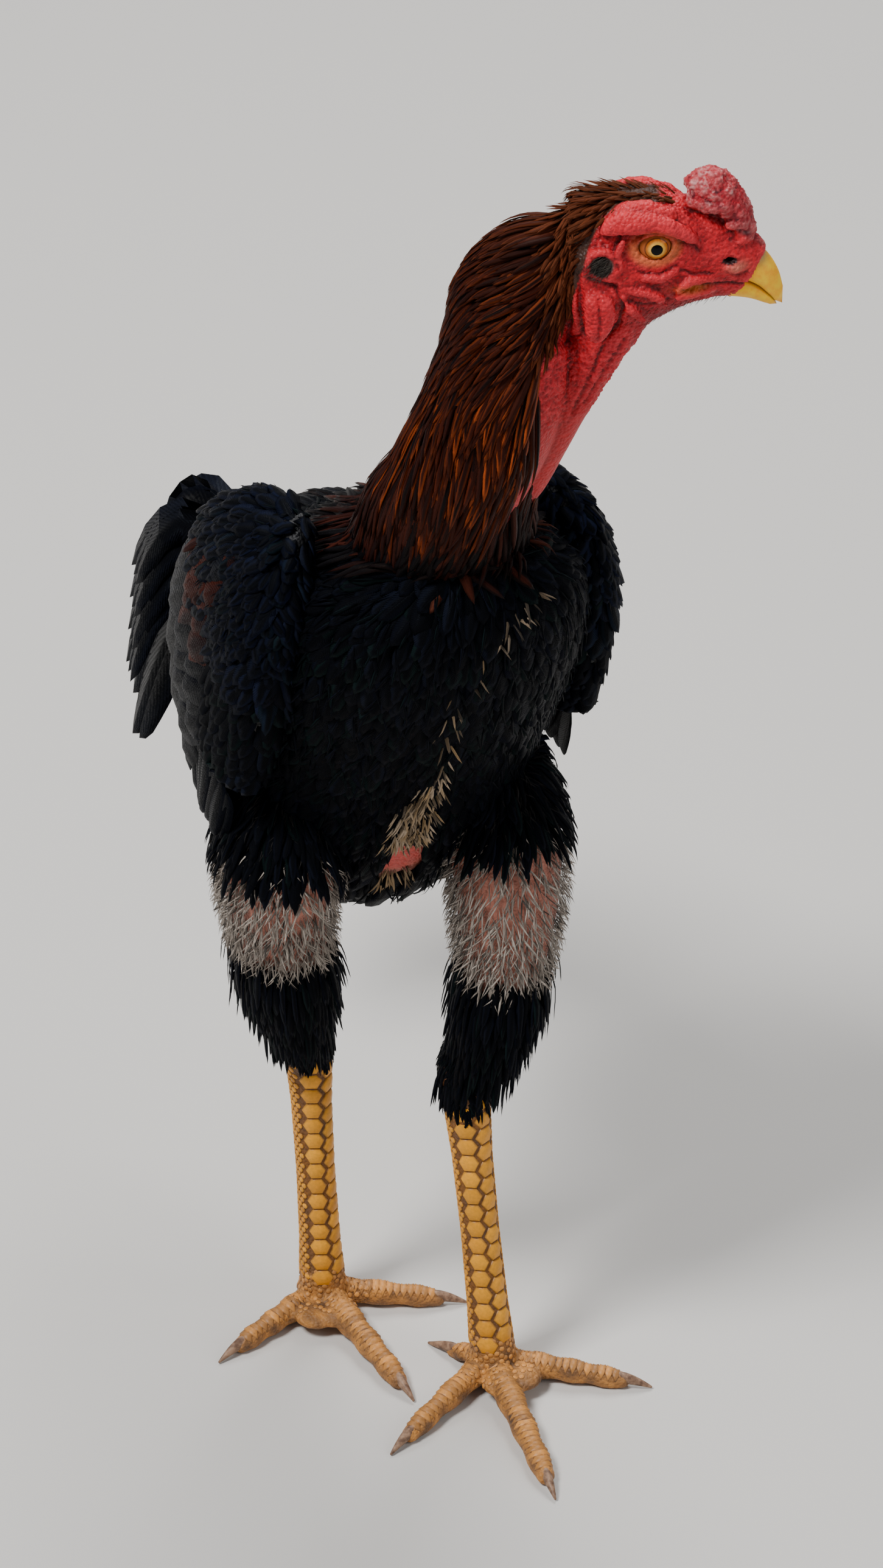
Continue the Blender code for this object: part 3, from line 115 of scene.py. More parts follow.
# Skull and beak: top and under points (forward, up) in the head frame, and the half width
SKULL_SECTIONS = mm((
    ((-31, 13.5), (-31, -46), 16.5),
    ((-18, 17), (-18, -46.5), 17),
    ((-6, 17.2), (-7, -43), 16.2),
    ((6, 15.5), (4, -36), 14.8),
    ((17, 12), (14, -31), 12.5),
    ((28.5, 5.8), (23, -28.9), 10.6),
    ((39, -1.8), (30, -27.9), 8.4),
    ((45.5, -9.6), (36, -29), 6.7),
    ((49, -18.5), (42, -29.5), 4),
    ((50.7, -26.5), (47, -31), 1.8),
))
BEAK_TIP = mm((50.5, 0, -31.8))
BEAK_ROOT = mm((39.8, -12.6))
BEAK_ROOT_NORMAL = (0.865, -0.502)
GAPE = mm(((9.6, -19.3), (15.5, -17.2), (29.6, -18.8), (36, -20), (41, -22.8), (46.2, -28.4), (48.5, -33)))
THROAT_LINE = mm((
    (-12, -30, 15), (-20.5, -45, 14), (-28, -60, 12.8), (-35, -76, 12), (-43, -95, 11.2), (-50, -112, 10),
    (-54.5, -122, 7),
))
EYE_SPREAD = 0.0098
EYE_RADIUS = 0.0072
LID_SIZE = mm((7.6, 5.6))
LID_TILT = math.radians(-9)
EYE_OPENING = mm((7.1, 7, 4))
BROWS = mm((
    (((-20, 12.8, 6), (-12, 13.2, 9.6), (-3, 13, 10.2), (4, 11.8, 9)), 4.4),
    (((-6, 14.2, 9.4), (2, 14.2, 9.4), (8, 13.4, 6.6), (15, 11.4, 1.4)), 2.7),
    (((-19, 9, 10), (-11, 9.2, 12.4), (-2, 9.2, 12.6), (7, 8.6, 10.8)), 4.2),
))
# The crease under the brow: forward, up
BROW_CREASE = mm(((-24, 2), (-19.7, 5.2), (-4.1, 7), (6.2, 5.4), (14.3, 0.4), (19, -4)))
EAR_CENTRE = mm((-20.2, 16.5, -7))
EAR_RADIUS = 0.005
NOSTRIL_CENTRE = mm((29, 8.8, -8.5))
NOSTRIL_SIZE = mm((3.4, 4, 1.2))
EARLOBE_SECTIONS = mm((
    ((-19.5, -18.2), (-26.2, -18), 1.6, 17), ((-16.5, -21.5), (-26.8, -21.5), 2.4, 17.8),
    ((-15, -26.5), (-26.5, -27), 2.7, 18), ((-15.8, -33), (-26.2, -34), 2.7, 17.8),
    ((-19, -38.5), (-24.8, -39), 2, 17),
))
COMB_SECTIONS = mm((
    ((40, -3.5), (42, 2), 3.5), ((35.5, -4), (39, 11.8), 7.8), ((29, 1), (33, 20), 9.2),
    ((22, 6), (25, 25.5), 9.6), ((16, 8.5), (18, 27.2), 8.8), ((12, 10), (12.5, 22), 6.2),
))

# The comb's skin is shorter than its solid, about this middle
COMB_MIDDLE = 0.027
COMB_SHARE = 0.82

# Folded wing on the bird's left: front point, back point and half thickness from the wrist down
WING_SECTIONS = mm((
    ((54, -22, 445), (47, 8, 448), 7),
    ((66, -37, 425), (49, 42, 433), 14.5),
    ((73, -38, 395), (53, 74, 407), 19),
    ((75, -30, 360), (55, 94, 376), 19.5),
    ((76, -16, 326), (58, 98, 342), 16),
    ((77, -2, 299), (64, 84, 311), 9),
    ((78, 10, 280), (73, 52, 285), 3.5),
))
WING_TOP = mm((48, -10, 451))
WING_TIP = mm((77, 26, 272))
WING_CORE_CHORD = 0.6
WING_CORE_SECTIONS = 5
WING_CORE_THICKNESS = 0.84

FOOT_ROOT = mm({"left": (24.5, -37.5, 20), "right": (-25, 38, 20)})
HOCK = mm({"left": (20, -19, 146), "right": (-28, 43, 144.5)})
THIGH_LINE = mm({
    "left": (
        (40, 6, 305, 25, 32), (40, -12, 274, 29, 33), (37, -23, 244, 27, 29), (33, -26, 208, 21.5, 24),
        (27, -23, 175, 16, 17.5),
    ),
    "right": (
        (-46, 20, 305, 25, 32), (-54, 8, 270, 28, 33), (-52, 14, 240, 26, 29), (-44, 24, 202, 20.5, 24),
        (-36, 35, 168, 14.5, 16.5),
    ),
})
SHANK_PROFILE = (
    (0, 0.01, 0.011),
    (0.15, 0.009, 0.0098),
    (0.45, 0.0084, 0.0091),
    (0.75, 0.0088, 0.0098),
    (0.92, 0.01, 0.0114),
    (1, 0.0104, 0.0117),
)
PAD_SIZE = mm((13.8, 14, 12.5))
PAD_HEIGHT = 0.0085
TOE_ROOT_HEIGHT = 0.0078
TOES = {
    "left": {
        "middle": (-0.0105, -0.0905, 0.0078, 4),
        "outer": (0.0605, -0.0395, 0.007, 4),
        "inner": (-0.0635, -0.034, 0.007, 3),
        "back": (-0.0175, 0.0295, 0.0056, 2),
    },
    "right": {
        "middle": (0.0095, -0.081, 0.0078, 4),
        "outer": (-0.059, -0.021, 0.007, 4),
        "inner": (0.0595, -0.0276, 0.007, 3),
        "back": (0.0175, 0.0295, 0.0056, 2),
    },
}
TOE_TAPER = 0.62
# How much slimmer the toes' skin is than their solids
TOE_SLIM = 0.86
# How deep the shank's skin lies under its solid, and how wide the shank's small scales are
SHANK_DEPTH = 0.0004
SMALL_SCALE = 0.0032
# The shank's mean radius and its way round, and where the small scales begin beside the large plates
SHANK_RADIUS = 0.0092
SHANK_ROUND = 0.0578
SMALL_SCALE_START = 0.011
TOE_PAD_SWELL = 0.0009
CLAW_LENGTH = 0.0135
CLAW_RADIUS = 0.003
CLAW_DROOP = 0.0035

# Camera: a standing person's view from the bird's right front
CAMERA_PLACE = Vector((-0.7951, -1.8242, 1.6417)) + PLACE
CAMERA_TURN = math.radians(24)
CAMERA_PITCH = math.radians(34)
CAMERA_LENS = 131.4
SENSOR = 36


def head_point(forward, side, up):
    """A point given forward, to the bird's left and up from between its eyes."""
    return HEAD_CENTRE + HEAD_AHEAD * forward + HEAD_LEFT * side + UP * up


def head_matrix(forward, side, up, tilt=0):
    matrix = Matrix.Rotation(HEAD_YAW - math.pi / 2, 4, "Z") @ Matrix.Rotation(tilt, 4, "Y")
    matrix.translation = head_point(forward, side, up)
    return matrix


def placed(sections):
    """Sections of the bird's own frame moved to where it stands."""
    return [(Vector(front) + PLACE, Vector(back) + PLACE, half) for front, back, half in sections]


def head_sections(sections):
    return [(head_point(a[0], 0, a[1]), head_point(b[0], 0, b[1]), half) for a, b, half in sections]


def at_side(point, side):
    """A point given for the bird's left half, or its mirror image, where the bird stands."""
    return Vector((side * point[0], point[1], point[2])) + PLACE


def drawn_in(sections, depth):
    """Sections whose skin lies deeper than the given ones."""
    inner = []
    for front, back, half in sections:
        front, back = Vector(front), Vector(back)
        inwards = (back - front).normalized() * depth
        inner.append((front + inwards, back - inwards, half - depth))
    return inner


def spline(rows, count):
    """Rows read evenly along a smooth curve through the given rows."""
    rows = np.array(rows, float)
    padded = np.vstack([2 * rows[0] - rows[1], rows, 2 * rows[-1] - rows[-2]])
    read = []
    for place in np.linspace(0, len(rows) - 1, count):
        start = min(int(place), len(rows) - 2)
        s = place - start
        p0, p1, p2, p3 = padded[start : start + 4]
        linear = (p2 - p0) * s
        square = (2 * p0 - 5 * p1 + 4 * p2 - p3) * s**2
        cube = (3 * p1 - 3 * p2 + p3 - p0) * s**3
        read.append(p1 + 0.5 * (linear + square + cube))
    return np.array(read)


def section_rings(sections, rings, sides, fullness=0):
    """Points of a tube through oval sections, as an array of rings by sides."""
    rows = spline([(*front, *back, half) for front, back, half in sections], rings)
    centres = (rows[:, 0:3] + rows[:, 3:6]) / 2
    tangents = np.gradient(centres, axis=0)
    angles = np.linspace(0, TAU, sides, endpoint=False)
    points = np.empty((rings, sides, 3))
    for ring, (row, centre, tangent) in enumerate(zip(rows, centres, tangents)):
        depth = (row[0:3] - row[3:6]) / 2
        across = np.cross(depth, tangent)
        across *= row[6] / np.linalg.norm(across)
        wide = np.sin(angles) * (1 + fullness * np.cos(angles))
        points[ring] = centre + np.outer(np.cos(angles), depth) + np.outer(wide, across)
    return points


def deselect():
    if bpy.context.object and bpy.context.object.mode != "OBJECT":
        bpy.ops.object.mode_set(mode="OBJECT")
    bpy.ops.object.select_all(action="DESELECT")


def activate(*objects):
    deselect()
    for obj in objects:
        obj.select_set(True)
    bpy.context.view_layer.objects.active = objects[0]
    return objects[0]


def settle(obj):
    """Puts the place of an object into its mesh."""
    activate(obj)
    bpy.ops.object.transform_apply(location=True, rotation=True, scale=True)
    return obj


def new_object(name, data):
    obj = bpy.data.objects.new(name, data)
    bpy.context.scene.collection.objects.link(obj)
    return obj


ALL = ("select_all", {"action": "SELECT"})
NONE = ("select_all", {"action": "DESELECT"})
OUTWARDS = ("normals_make_consistent", {"inside": False})


def edit_mesh(obj, *steps):
    """Runs mesh operators on an object, each given as its name and its settings."""
    activate(obj)
    bpy.ops.object.mode_set(mode="EDIT")
    for name, settings in steps:
        getattr(bpy.ops.mesh, name)(**settings)
    bpy.ops.object.mode_set(mode="OBJECT")
    return obj


def tube(name, points, ends=(None, None)):
    """A closed tube from an array of rings of points, made of a grid that is wrapped and closed."""
    rings, sides, _ = points.shape
    deselect()
    bpy.ops.mesh.primitive_grid_add(x_subdivisions=sides, y_subdivisions=rings - 1, size=1)
    obj = bpy.context.object
    obj.name = name
    set_points(obj, np.concatenate([points, points[:, :1]], axis=1))
    edit_mesh(obj, ALL, ("remove_doubles", {"threshold": 1e-6}), NONE,
        ("select_non_manifold", {"extend": False}), ("fill_holes", {"sides": 0}), ALL, OUTWARDS)
    for end, ring in zip(ends, (0, rings - 1)):
        if end is not None:
            raise_cap(obj, points[ring], Vector(end))
    return obj


def shell(name, sections, rings, sides, ends=(None, None), fullness=0):
    """A closed tube through oval sections."""
    return tube(name, section_rings(sections, rings, sides, fullness), ends)


def raise_cap(obj, ring, end):
    """Pokes the cap on a ring of points and moves its middle out to an end point."""
    middle = Vector(ring.mean(axis=0))
    cap = min((face for face in obj.data.polygons if len(face.vertices) > 4),
        key=lambda face: (face.center - middle).length)
    index = cap.index
    edit_mesh(obj, NONE)
    obj.data.polygons[index].select = True
    before = len(obj.data.vertices)
    edit_mesh(obj, ("poke", {}))
    obj.data.vertices[before].co = end


def blob(name, matrix, size, segments=24, rings=16):
    """An oval lump with its place in its mesh."""
    deselect()
    bpy.ops.mesh.primitive_uv_sphere_add(segments=segments, ring_count=rings, radius=1)
    obj = bpy.context.object
    obj.name = name
    obj.matrix_world = matrix @ Matrix.Diagonal((*size, 1))
    return settle(obj)


def bead(name, matrix, size, thickness):
    """An oval ring lying in the matrix's XZ plane."""
    deselect()
    bpy.ops.mesh.primitive_torus_add(major_radius=size[0], minor_radius=thickness, major_segments=48,
        minor_segments=14, rotation=(math.pi / 2, 0, 0))
    obj = bpy.context.object
    obj.name = name
    bpy.ops.object.transform_apply(location=False, rotation=True, scale=False)
    obj.matrix_world = matrix @ Matrix.Diagonal((1, 1, size[1] / size[0], 1))
    return settle(obj)


def cord_along(name, points, radius):
    """A round-ended fold of flesh along some points."""
    rows = np.array(spline([tuple(point) for point in points], 16))
    tangents = np.gradient(rows, axis=0)
    rings = np.empty((16, 12, 3))
    angles = np.linspace(0, TAU, 12, endpoint=False)
    for ring, (row, tangent) in enumerate(zip(rows, tangents)):
        size = radius * math.sin(math.pi * (0.08 + 0.84 * ring / 15)) ** 0.6
        one = np.cross(tangent, (0.1, 0.2, 1))
        one /= np.linalg.norm(one)
        two = np.cross(one, tangent / np.linalg.norm(tangent))
        rings[ring] = row + size * (np.outer(np.cos(angles), one) + np.outer(np.sin(angles), two))
    return tube(name, rings)


def add_modifier(obj, kind, **settings):
    """Adds a modifier with its settings and applies it."""
    modifier = obj.modifiers.new(kind.lower(), kind)
    for key, value in settings.items():
        setattr(modifier, key, value)
    activate(obj)
    bpy.ops.object.modifier_apply(modifier=modifier.name)


def join(name, objects):
    obj = activate(*objects)
    if len(objects) > 1:
        bpy.ops.object.join()
    obj.name = name
    return obj


def melt(name, objects, voxel, smooth):
    """Joins closed forms into one smooth skin."""
    obj = join(name, objects)
    add_modifier(obj, "REMESH", mode="VOXEL", voxel_size=voxel, use_smooth_shade=True)
    add_modifier(obj, "SMOOTH", factor=0.5, iterations=smooth)
    return obj


def points_of(obj, kind="co"):
    points = np.empty(len(obj.data.vertices) * 3, np.float32)
    obj.data.vertices.foreach_get(kind, points)
    return points.reshape(-1, 3).astype(float)


def normals_of(obj):
    return points_of(obj, "normal")


def set_points(obj, points):
    obj.data.vertices.foreach_set("co", points.astype(np.float32).reshape(-1))
    obj.data.update()


def paint(obj, name, colours):
    """Keeps a colour for each point of a mesh as an attribute that materials read."""
    attribute = obj.data.attributes.get(name) or obj.data.attributes.new(name, "FLOAT_COLOR", "POINT")
    values = np.ones((len(obj.data.vertices), 4), np.float32)
    values[:, :3] = colours
    attribute.data.foreach_set("color", values.reshape(-1))


def keep_values(obj, name, values):
    """Keeps a number for each point of a mesh as an attribute that materials read."""
    attribute = obj.data.attributes.new(name, "FLOAT", "POINT")
    attribute.data.foreach_set("value", values.astype(np.float32))


def hand_in(obj, material, replaced=()):
    """Gives a piece its material and smooth shading, hides the solids it replaces and hangs it on its body."""
    obj.data.shade_smooth()
    obj.data.materials.append(material)
    if replaced:
        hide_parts(*replaced)
    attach(obj, "root")


def in_head(points):
    """World points as forward, left and up from between the eyes."""
    shifted = points - np.array(HEAD_CENTRE)
    return np.stack([shifted @ np.array(HEAD_AHEAD), shifted @ np.array(HEAD_LEFT), shifted[:, 2]], axis=1)


def one_in_head(place):
    return in_head(np.array([tuple(place)]))[0]


def smoothstep(low, high, values):
    t = np.clip((values - low) / (high - low), 0, 1)
    return t * t * (3 - 2 * t)


def grain(points, size, seed=0):
    """Smooth noise in -1..1 at each point."""
    scaled = points / size + seed
    return np.array([noise.noise(Vector(point)) for point in scaled])


def cells(points, size):
    """How near each point is to the middle of its pebble, from 1 in the middle to 0 at the edge."""
    found = np.empty(len(points))
    for index, point in enumerate(points / size):
        distances, _ = noise.voronoi(Vector(point))
        found[index] = distances[1] - distances[0]
    return np.clip(found * 1.6, 0, 1)


def mix(one, two, share):
    """Colours mixed point by point."""
    share = np.asarray(share, float).reshape(-1, 1)
    return np.asarray(one, float) * (1 - share) + np.asarray(two, float) * share


class Value:
    """A shader value, which adds Math nodes where it stands in an expression."""

    def __init__(self, shader, socket):
        self.shader, self.socket = shader, socket

    def math(self, operation, *others, clamp=False):
        settings = {"operation": operation, "use_clamp": clamp}
        return self.shader.node("ShaderNodeMath", settings, {0: self, **dict(enumerate(others, 1))})

    def __add__(self, other):
        return self.math("ADD", other)

    def __sub__(self, other):
        return self.math("SUBTRACT", other)

    def __rsub__(self, other):
        return self.shader.node("ShaderNodeMath", {"operation": "SUBTRACT"}, {0: other, 1: self})

    def __mul__(self, other):
        return self.math("MULTIPLY", other)

    def __truediv__(self, other):
        return self.math("DIVIDE", other)

    __radd__ = __add__
    __rmul__ = __mul__

    def step(self, low, high):
        """0 below the low value and 1 above the high one, with a soft change between."""
        settings = {"interpolation_type": "SMOOTHSTEP"}
        return self.shader.node("ShaderNodeMapRange", settings, {"Value": self, "From Min": low,
            "From Max": high})


class Shader:
    """A material under construction."""

    def __init__(self, name):
        self.material = bpy.data.materials.new(name)
        self.material.use_nodes = True
        self.tree = self.material.node_tree
        self.surface = self.tree.nodes["Principled BSDF"]

    def node(self, kind, settings=None, inputs=None, output=0):
        """Adds a node, sets it and links or fills its sockets, and gives one of its outputs."""
        added = self.tree.nodes.new(kind)
        for key, value in (settings or {}).items():
            setattr(added, key, value)
        for key, value in (inputs or {}).items():
            self.feed(added.inputs[key], value)
        return Value(self, added.outputs[output])

    def feed(self, socket, value):
        if isinstance(value, Value):
            self.tree.links.new(value.socket, socket)
        elif socket.type == "RGBA" and len(value) == 3:
            socket.default_value = (*value, 1)
        else:
            socket.default_value = value

    def finish(self, **inputs):
        """Feeds the surface's sockets, named with underscores for spaces."""
        for key, value in inputs.items():
            self.feed(self.surface.inputs[key.replace("_", " ")], value)
        return self.material

    def place(self):
        return self.node("ShaderNodeTexCoord", output="Object")

    def attribute(self, name, output="Color"):
        return self.node("ShaderNodeAttribute", {"attribute_name": name}, output=output)

    def noise(self, scale, detail=4, place=None, roughness=0.55):
        inputs = {"Vector": place or self.place(), "Scale": scale, "Detail": detail, "Roughness": roughness}
        return self.node("ShaderNodeTexNoise", None, inputs)

    def voronoi(self, scale, feature="F1", place=None, output="Distance"):
        return self.node("ShaderNodeTexVoronoi", {"feature": feature}, {"Vector": place or self.place(),
            "Scale": scale}, output)

    def blend(self, share, one, two):
        """Two colours mixed by a share."""
        settings = {"data_type": "RGBA", "blend_type": "MIX"}
        return self.node("ShaderNodeMix", settings, {"Factor": share, 6: one, 7: two}, output=2)

    def shade(self, colour, amount):
        """A colour made lighter or darker by a value around 1."""
        grey = self.node("ShaderNodeCombineColor", None, {"Red": amount, "Green": amount, "Blue": amount})
        settings = {"data_type": "RGBA", "blend_type": "MULTIPLY"}
        return self.node("ShaderNodeMix", settings, {"Factor": 1, 6: colour, 7: grey}, output=2)

    def bump(self, height, strength, distance, normal=None):
        inputs = {"Height": height, "Strength": strength, "Distance": distance}
        if normal:
            inputs["Normal"] = normal
        return self.node("ShaderNodeBump", None, inputs, output="Normal")

    def vane(self):
        """Across and along a feather, from its own map: 0 to 1 each."""
        mapped = self.node("ShaderNodeUVMap", {"uv_map": "Vane"})
        parts = self.tree.nodes.new("ShaderNodeSeparateXYZ")
        self.tree.links.new(mapped.socket, parts.inputs[0])
        return Value(self, parts.outputs[0]), Value(self, parts.outputs[1])


def skin_material(name, roughness, pore_scale, subsurface):
    """Bare skin: its painted colour with fine mottling, pores and a soft inner glow."""
    shader = Shader(name)
    tint = shader.attribute("tint")
    mottle = shader.noise(420, 5)
    fine = shader.noise(pore_scale, 3)
    pebble = shader.voronoi(pore_scale * 0.9)
    colour = shader.shade(tint, 0.6 + mottle * 0.52 + pebble * 0.3)
    height = fine * 0.4 - pebble * 1.2
    return shader.finish(Base_Color=colour, Roughness=roughness + fine * 0.18, Subsurface_Weight=subsurface,
        Subsurface_Radius=(0.0022, 0.0007, 0.0004), Subsurface_Scale=1, Specular_IOR_Level=0.28,
        Normal=shader.bump(height, 0.75, 0.0007))


def feather_material(name, roughness, sheen, edge_light=0, specular=0.5, gloss=(1, 1, 1)):
    """Plumage: an edge colour and a heart colour on each feather, with its shaft and barbs."""
    shader = Shader(name)
    across, along = shader.vane()
    side = (across - 0.5).math("ABSOLUTE") * 2
    wobble = shader.noise(900, 2)
    heart = 1 - side.step(0.25, 0.75)
    heart = heart * (1 - along.step(0.82, 1))
    barbs = (along * 170 - side * 30 + wobble * 6).math("SINE")
    colour = shader.blend(heart, shader.attribute("tint"), shader.attribute("heart"))
    colour = shader.shade(colour, 0.72 + barbs * 0.18 + wobble * 0.42 + side * edge_light)
    shaft = 1 - side.step(0.03, 0.1)
    height = barbs * 0.35 + shaft * 0.6
    return shader.finish(Base_Color=colour, Roughness=roughness - barbs * 0.08 + wobble * 0.14,
        Specular_IOR_Level=specular, Specular_Tint=gloss, Sheen_Weight=sheen, Sheen_Roughness=0.45,
        Normal=shader.bump(height, 0.4, 0.0004))


def horn_material(name, tint_low, tint_high, roughness, streak_scale, coat):
    """Horn with long faint growth streaks and a thin gloss."""
    shader = Shader(name)
    streaks = shader.noise(streak_scale, 5)
    fine = shader.noise(streak_scale * 6, 3)
    colour = shader.blend(streaks.step(0.3, 0.7), tint_low, tint_high)
    colour = shader.blend(shader.attribute("stain", "Fac"), colour, shader.attribute("tint"))
    colour = shader.shade(colour, 0.92 + fine * 0.24)
    return shader.finish(Base_Color=colour, Roughness=roughness + fine * 0.2, Coat_Weight=coat,
        Coat_Roughness=0.25, Specular_IOR_Level=0.25, Normal=shader.bump(fine, 0.3, 0.0003))


class Guide:
    """A surface read smoothly, for feathers to lie on."""

    # Size of the cells in which close neighbours are looked for
    CELL = 0.004

    def __init__(self, obj):
        obj.data.calc_loop_triangles()
        self.points = [vert.co.copy() for vert in obj.data.vertices]
        self.normals = [vert.normal.copy() for vert in obj.data.vertices]
        self.faces = [tuple(triangle.vertices) for triangle in obj.data.loop_triangles]
        self.areas = np.array([triangle.area for triangle in obj.data.loop_triangles])
        self.tree = BVHTree.FromPolygons(self.points, self.faces)

    def nearest(self, point):
        place, _, index, _ = self.tree.find_nearest(point)
        corners = self.faces[index]
        shares = poly_3d_calc([self.points[corner] for corner in corners], place)
        normal = Vector()
        for corner, share in zip(corners, shares):
            normal += self.normals[corner] * share
        return place, normal.normalized()

    def scatter(self, chance, tries, spacing):
        """Places set about evenly: spacing(point, normal) gives the distance to keep, or nothing for bare."""
        picks = np.random.default_rng(chance).choice(len(self.faces), tries, p=self.areas / self.areas.sum())
        shares = np.random.default_rng(chance + 1).random((tries, 2))
        grid, kept = {}, []
        for pick, (a, b) in zip(picks, shares):
            if a + b > 1:
                a, b = 1 - a, 1 - b
            place, normal = (self.inside(values, pick, a, b) for values in (self.points, self.normals))
            normal.normalize()
            gap = spacing(place, normal)
            if not gap:
                continue
            x, y, z = (math.floor(value / self.CELL) for value in place)
            span = range(-int(gap / self.CELL) - 1, int(gap / self.CELL) + 2)
            around = (grid.get((x + i, y + j, z + k), ()) for i in span for j in span for k in span)
            if any((other - place).length < gap for others in around for other in others):
                continue
            grid.setdefault((x, y, z), []).append(place)
            kept.append((place, normal))
        return kept

    def inside(self, values, face, a, b):
        """What a face's three corners give at a place inside it."""
        one, two, three = (values[corner] for corner in self.faces[face])
        return one + (two - one) * a + (three - one) * b


class Plumage:
    """Feathers gathered for one piece, laid one by one and built as one mesh."""

    def __init__(self, name, shape, thickness=0.00035, camber=0.16, fray=0.1, seed=1):
        self.name = name
        self.shares = np.array([share for share, _ in shape])
        self.outline = np.array([width for _, width in shape])
        self.thickness, self.camber, self.fray = thickness, camber, fray
        self.rows = len(shape)
        self.chance = random.Random(seed)
        self.middles, self.normals, self.widths = [], [], []
        self.tints, self.hearts, self.roots = [], [], []

    def lay(self, guide, start, heading, length, width, sink, rise, tint, heart=None, root=(0.5, 0.5),
            lift=1.6, stray=0.12):
        """Lays a feather over a guide surface from a sunk root to a tip that stands off by the rise."""
        place, normal = guide.nearest(start)
        heading = Vector(heading).normalized()
        side = normal.cross(heading)
        heading = heading + side * self.chance.uniform(-stray, stray)
        middles, normals = [], []
        for row, share in enumerate(self.shares):
            heading = (heading - normal * heading.dot(normal)).normalized()
            middles.append(place + normal * (rise - (sink + rise) * (1 - share) ** lift))
            normals.append(normal)
            if row < self.rows - 1:
                step = length * (self.shares[row + 1] - share)
                place, normal = guide.nearest(place + heading * step)
        self.keep(middles, normals, width, tint, heart, root)

    def arch(self, points, normal, width, tint, heart=None, root=(0.5, 0.5)):
        """A feather in the open along a smooth line through some points."""
        line = spline([tuple(point) for point in points], 61)
        walked = np.linspace(0, 1, 61)
        rows = np.stack([np.interp(self.shares, walked, line[:, axis]) for axis in range(3)], axis=1)
        self.keep([Vector(row) for row in rows], [Vector(normal)] * self.rows, width, tint, heart, root)

    def keep(self, middles, normals, width, tint, heart, root):
        self.middles.append([tuple(point) for point in middles])
        self.normals.append([tuple(point) for point in normals])
        self.widths.append(width)
        self.tints.append(tint)
        self.hearts.append(tint if heart is None else heart)
        self.roots.append(root)

    def build(self, material, slot):
        """Makes the mesh: every feather is a closed lens-shaped blade with its own maps and colours."""
        middles, normals = np.array(self.middles), np.array(self.normals)
        count, rows = len(middles), self.rows
        along = np.gradient(middles, axis=1)
        along /= np.linalg.norm(along, axis=2, keepdims=True) + 1e-12
        across = np.cross(along, normals)
        across /= np.linalg.norm(across, axis=2, keepdims=True) + 1e-12
        up = np.cross(across, along)
        generator = np.random.default_rng(len(self.name))
        half = np.array(self.widths)[:, None] / 2 * self.outline[None, :]
        drop = half * self.camber
        inner = slice(1, rows - 1)
        corners = []
        for sign in (-1, 1):
            ragged = 1 + self.fray * generator.uniform(-1, 1, (count, rows))
            edge = middles + across * (sign * half * ragged)[:, :, None] - up * drop[:, :, None]
            corners.append(edge[:, inner])
        thick = (self.thickness * np.clip(self.outline * 1.6, 0.3, 1))[None, :, None]
        corners.append((middles + up * thick)[:, inner])
        corners.append((middles - up * thick * 0.4)[:, inner])
        body = np.stack(corners, axis=2).reshape(count, -1, 3)
        points = np.concatenate([body, middles[:, :1], middles[:, -1:]], axis=1)
        faces, grid = self.pattern()
        per = points.shape[1]
        all_faces = (faces[None] + (np.arange(count) * per)[:, None, None]).reshape(-1, 3)
        mesh = bpy.data.meshes.new(self.name)
        mesh.vertices.add(count * per)
        mesh.vertices.foreach_set("co", points.reshape(-1).astype(np.float32))
        mesh.loops.add(len(all_faces) * 3)
        mesh.loops.foreach_set("vertex_index", all_faces.reshape(-1).astype(np.int32))
        mesh.polygons.add(len(all_faces))
        mesh.polygons.foreach_set("loop_start", np.arange(0, len(all_faces) * 3, 3, dtype=np.int32))
        mesh.update(calc_edges=True)
        obj = new_object(self.name, mesh)
        self.map(mesh, "Vane", np.tile(grid, (count, 1)), all_faces)
        patch = np.array(self.roots)[:, None, :] + (grid[None] - 0.5) * BAKE_PATCH
        self.map(mesh, "OFBake", patch.reshape(-1, 2), all_faces)
        paint(obj, "tint", np.repeat(np.array(self.tints), per, axis=0))
        paint(obj, "heart", np.repeat(np.array(self.hearts), per, axis=0))
        hand_in(obj, material)

    def pattern(self):
        """The triangles and the across-and-along map of one feather."""
        rows = self.rows - 2
        faces = []
        for row in range(rows - 1):
            left, right, top, low = (row * 4 + corner for corner in range(4))
            for one, two in ((left, top), (top, right), (right, low), (low, left)):
                faces += [(one, two, two + 4), (one, two + 4, one + 4)]
        root, tip = rows * 4, rows * 4 + 1
        end = (rows - 1) * 4
        for one, two in ((0, 2), (2, 1), (1, 3), (3, 0)):
            faces.append((root, two, one))
            faces.append((tip, end + one, end + two))
        grid = []
        for row in range(rows):
            v = self.shares[row + 1]
            grid += [(0, v), (1, v), (0.5, v), (0.5, v)]
        grid += [(0.5, 0), (0.5, 1)]
        return np.array(faces)[:, ::-1], np.array(grid)

    @staticmethod
    def map(mesh, name, values, faces):
        layer = mesh.uv_layers.new(name=name)
        layer.data.foreach_set("uv", values[faces.reshape(-1)].reshape(-1).astype(np.float32))


BAKE_PATCH = 0.003


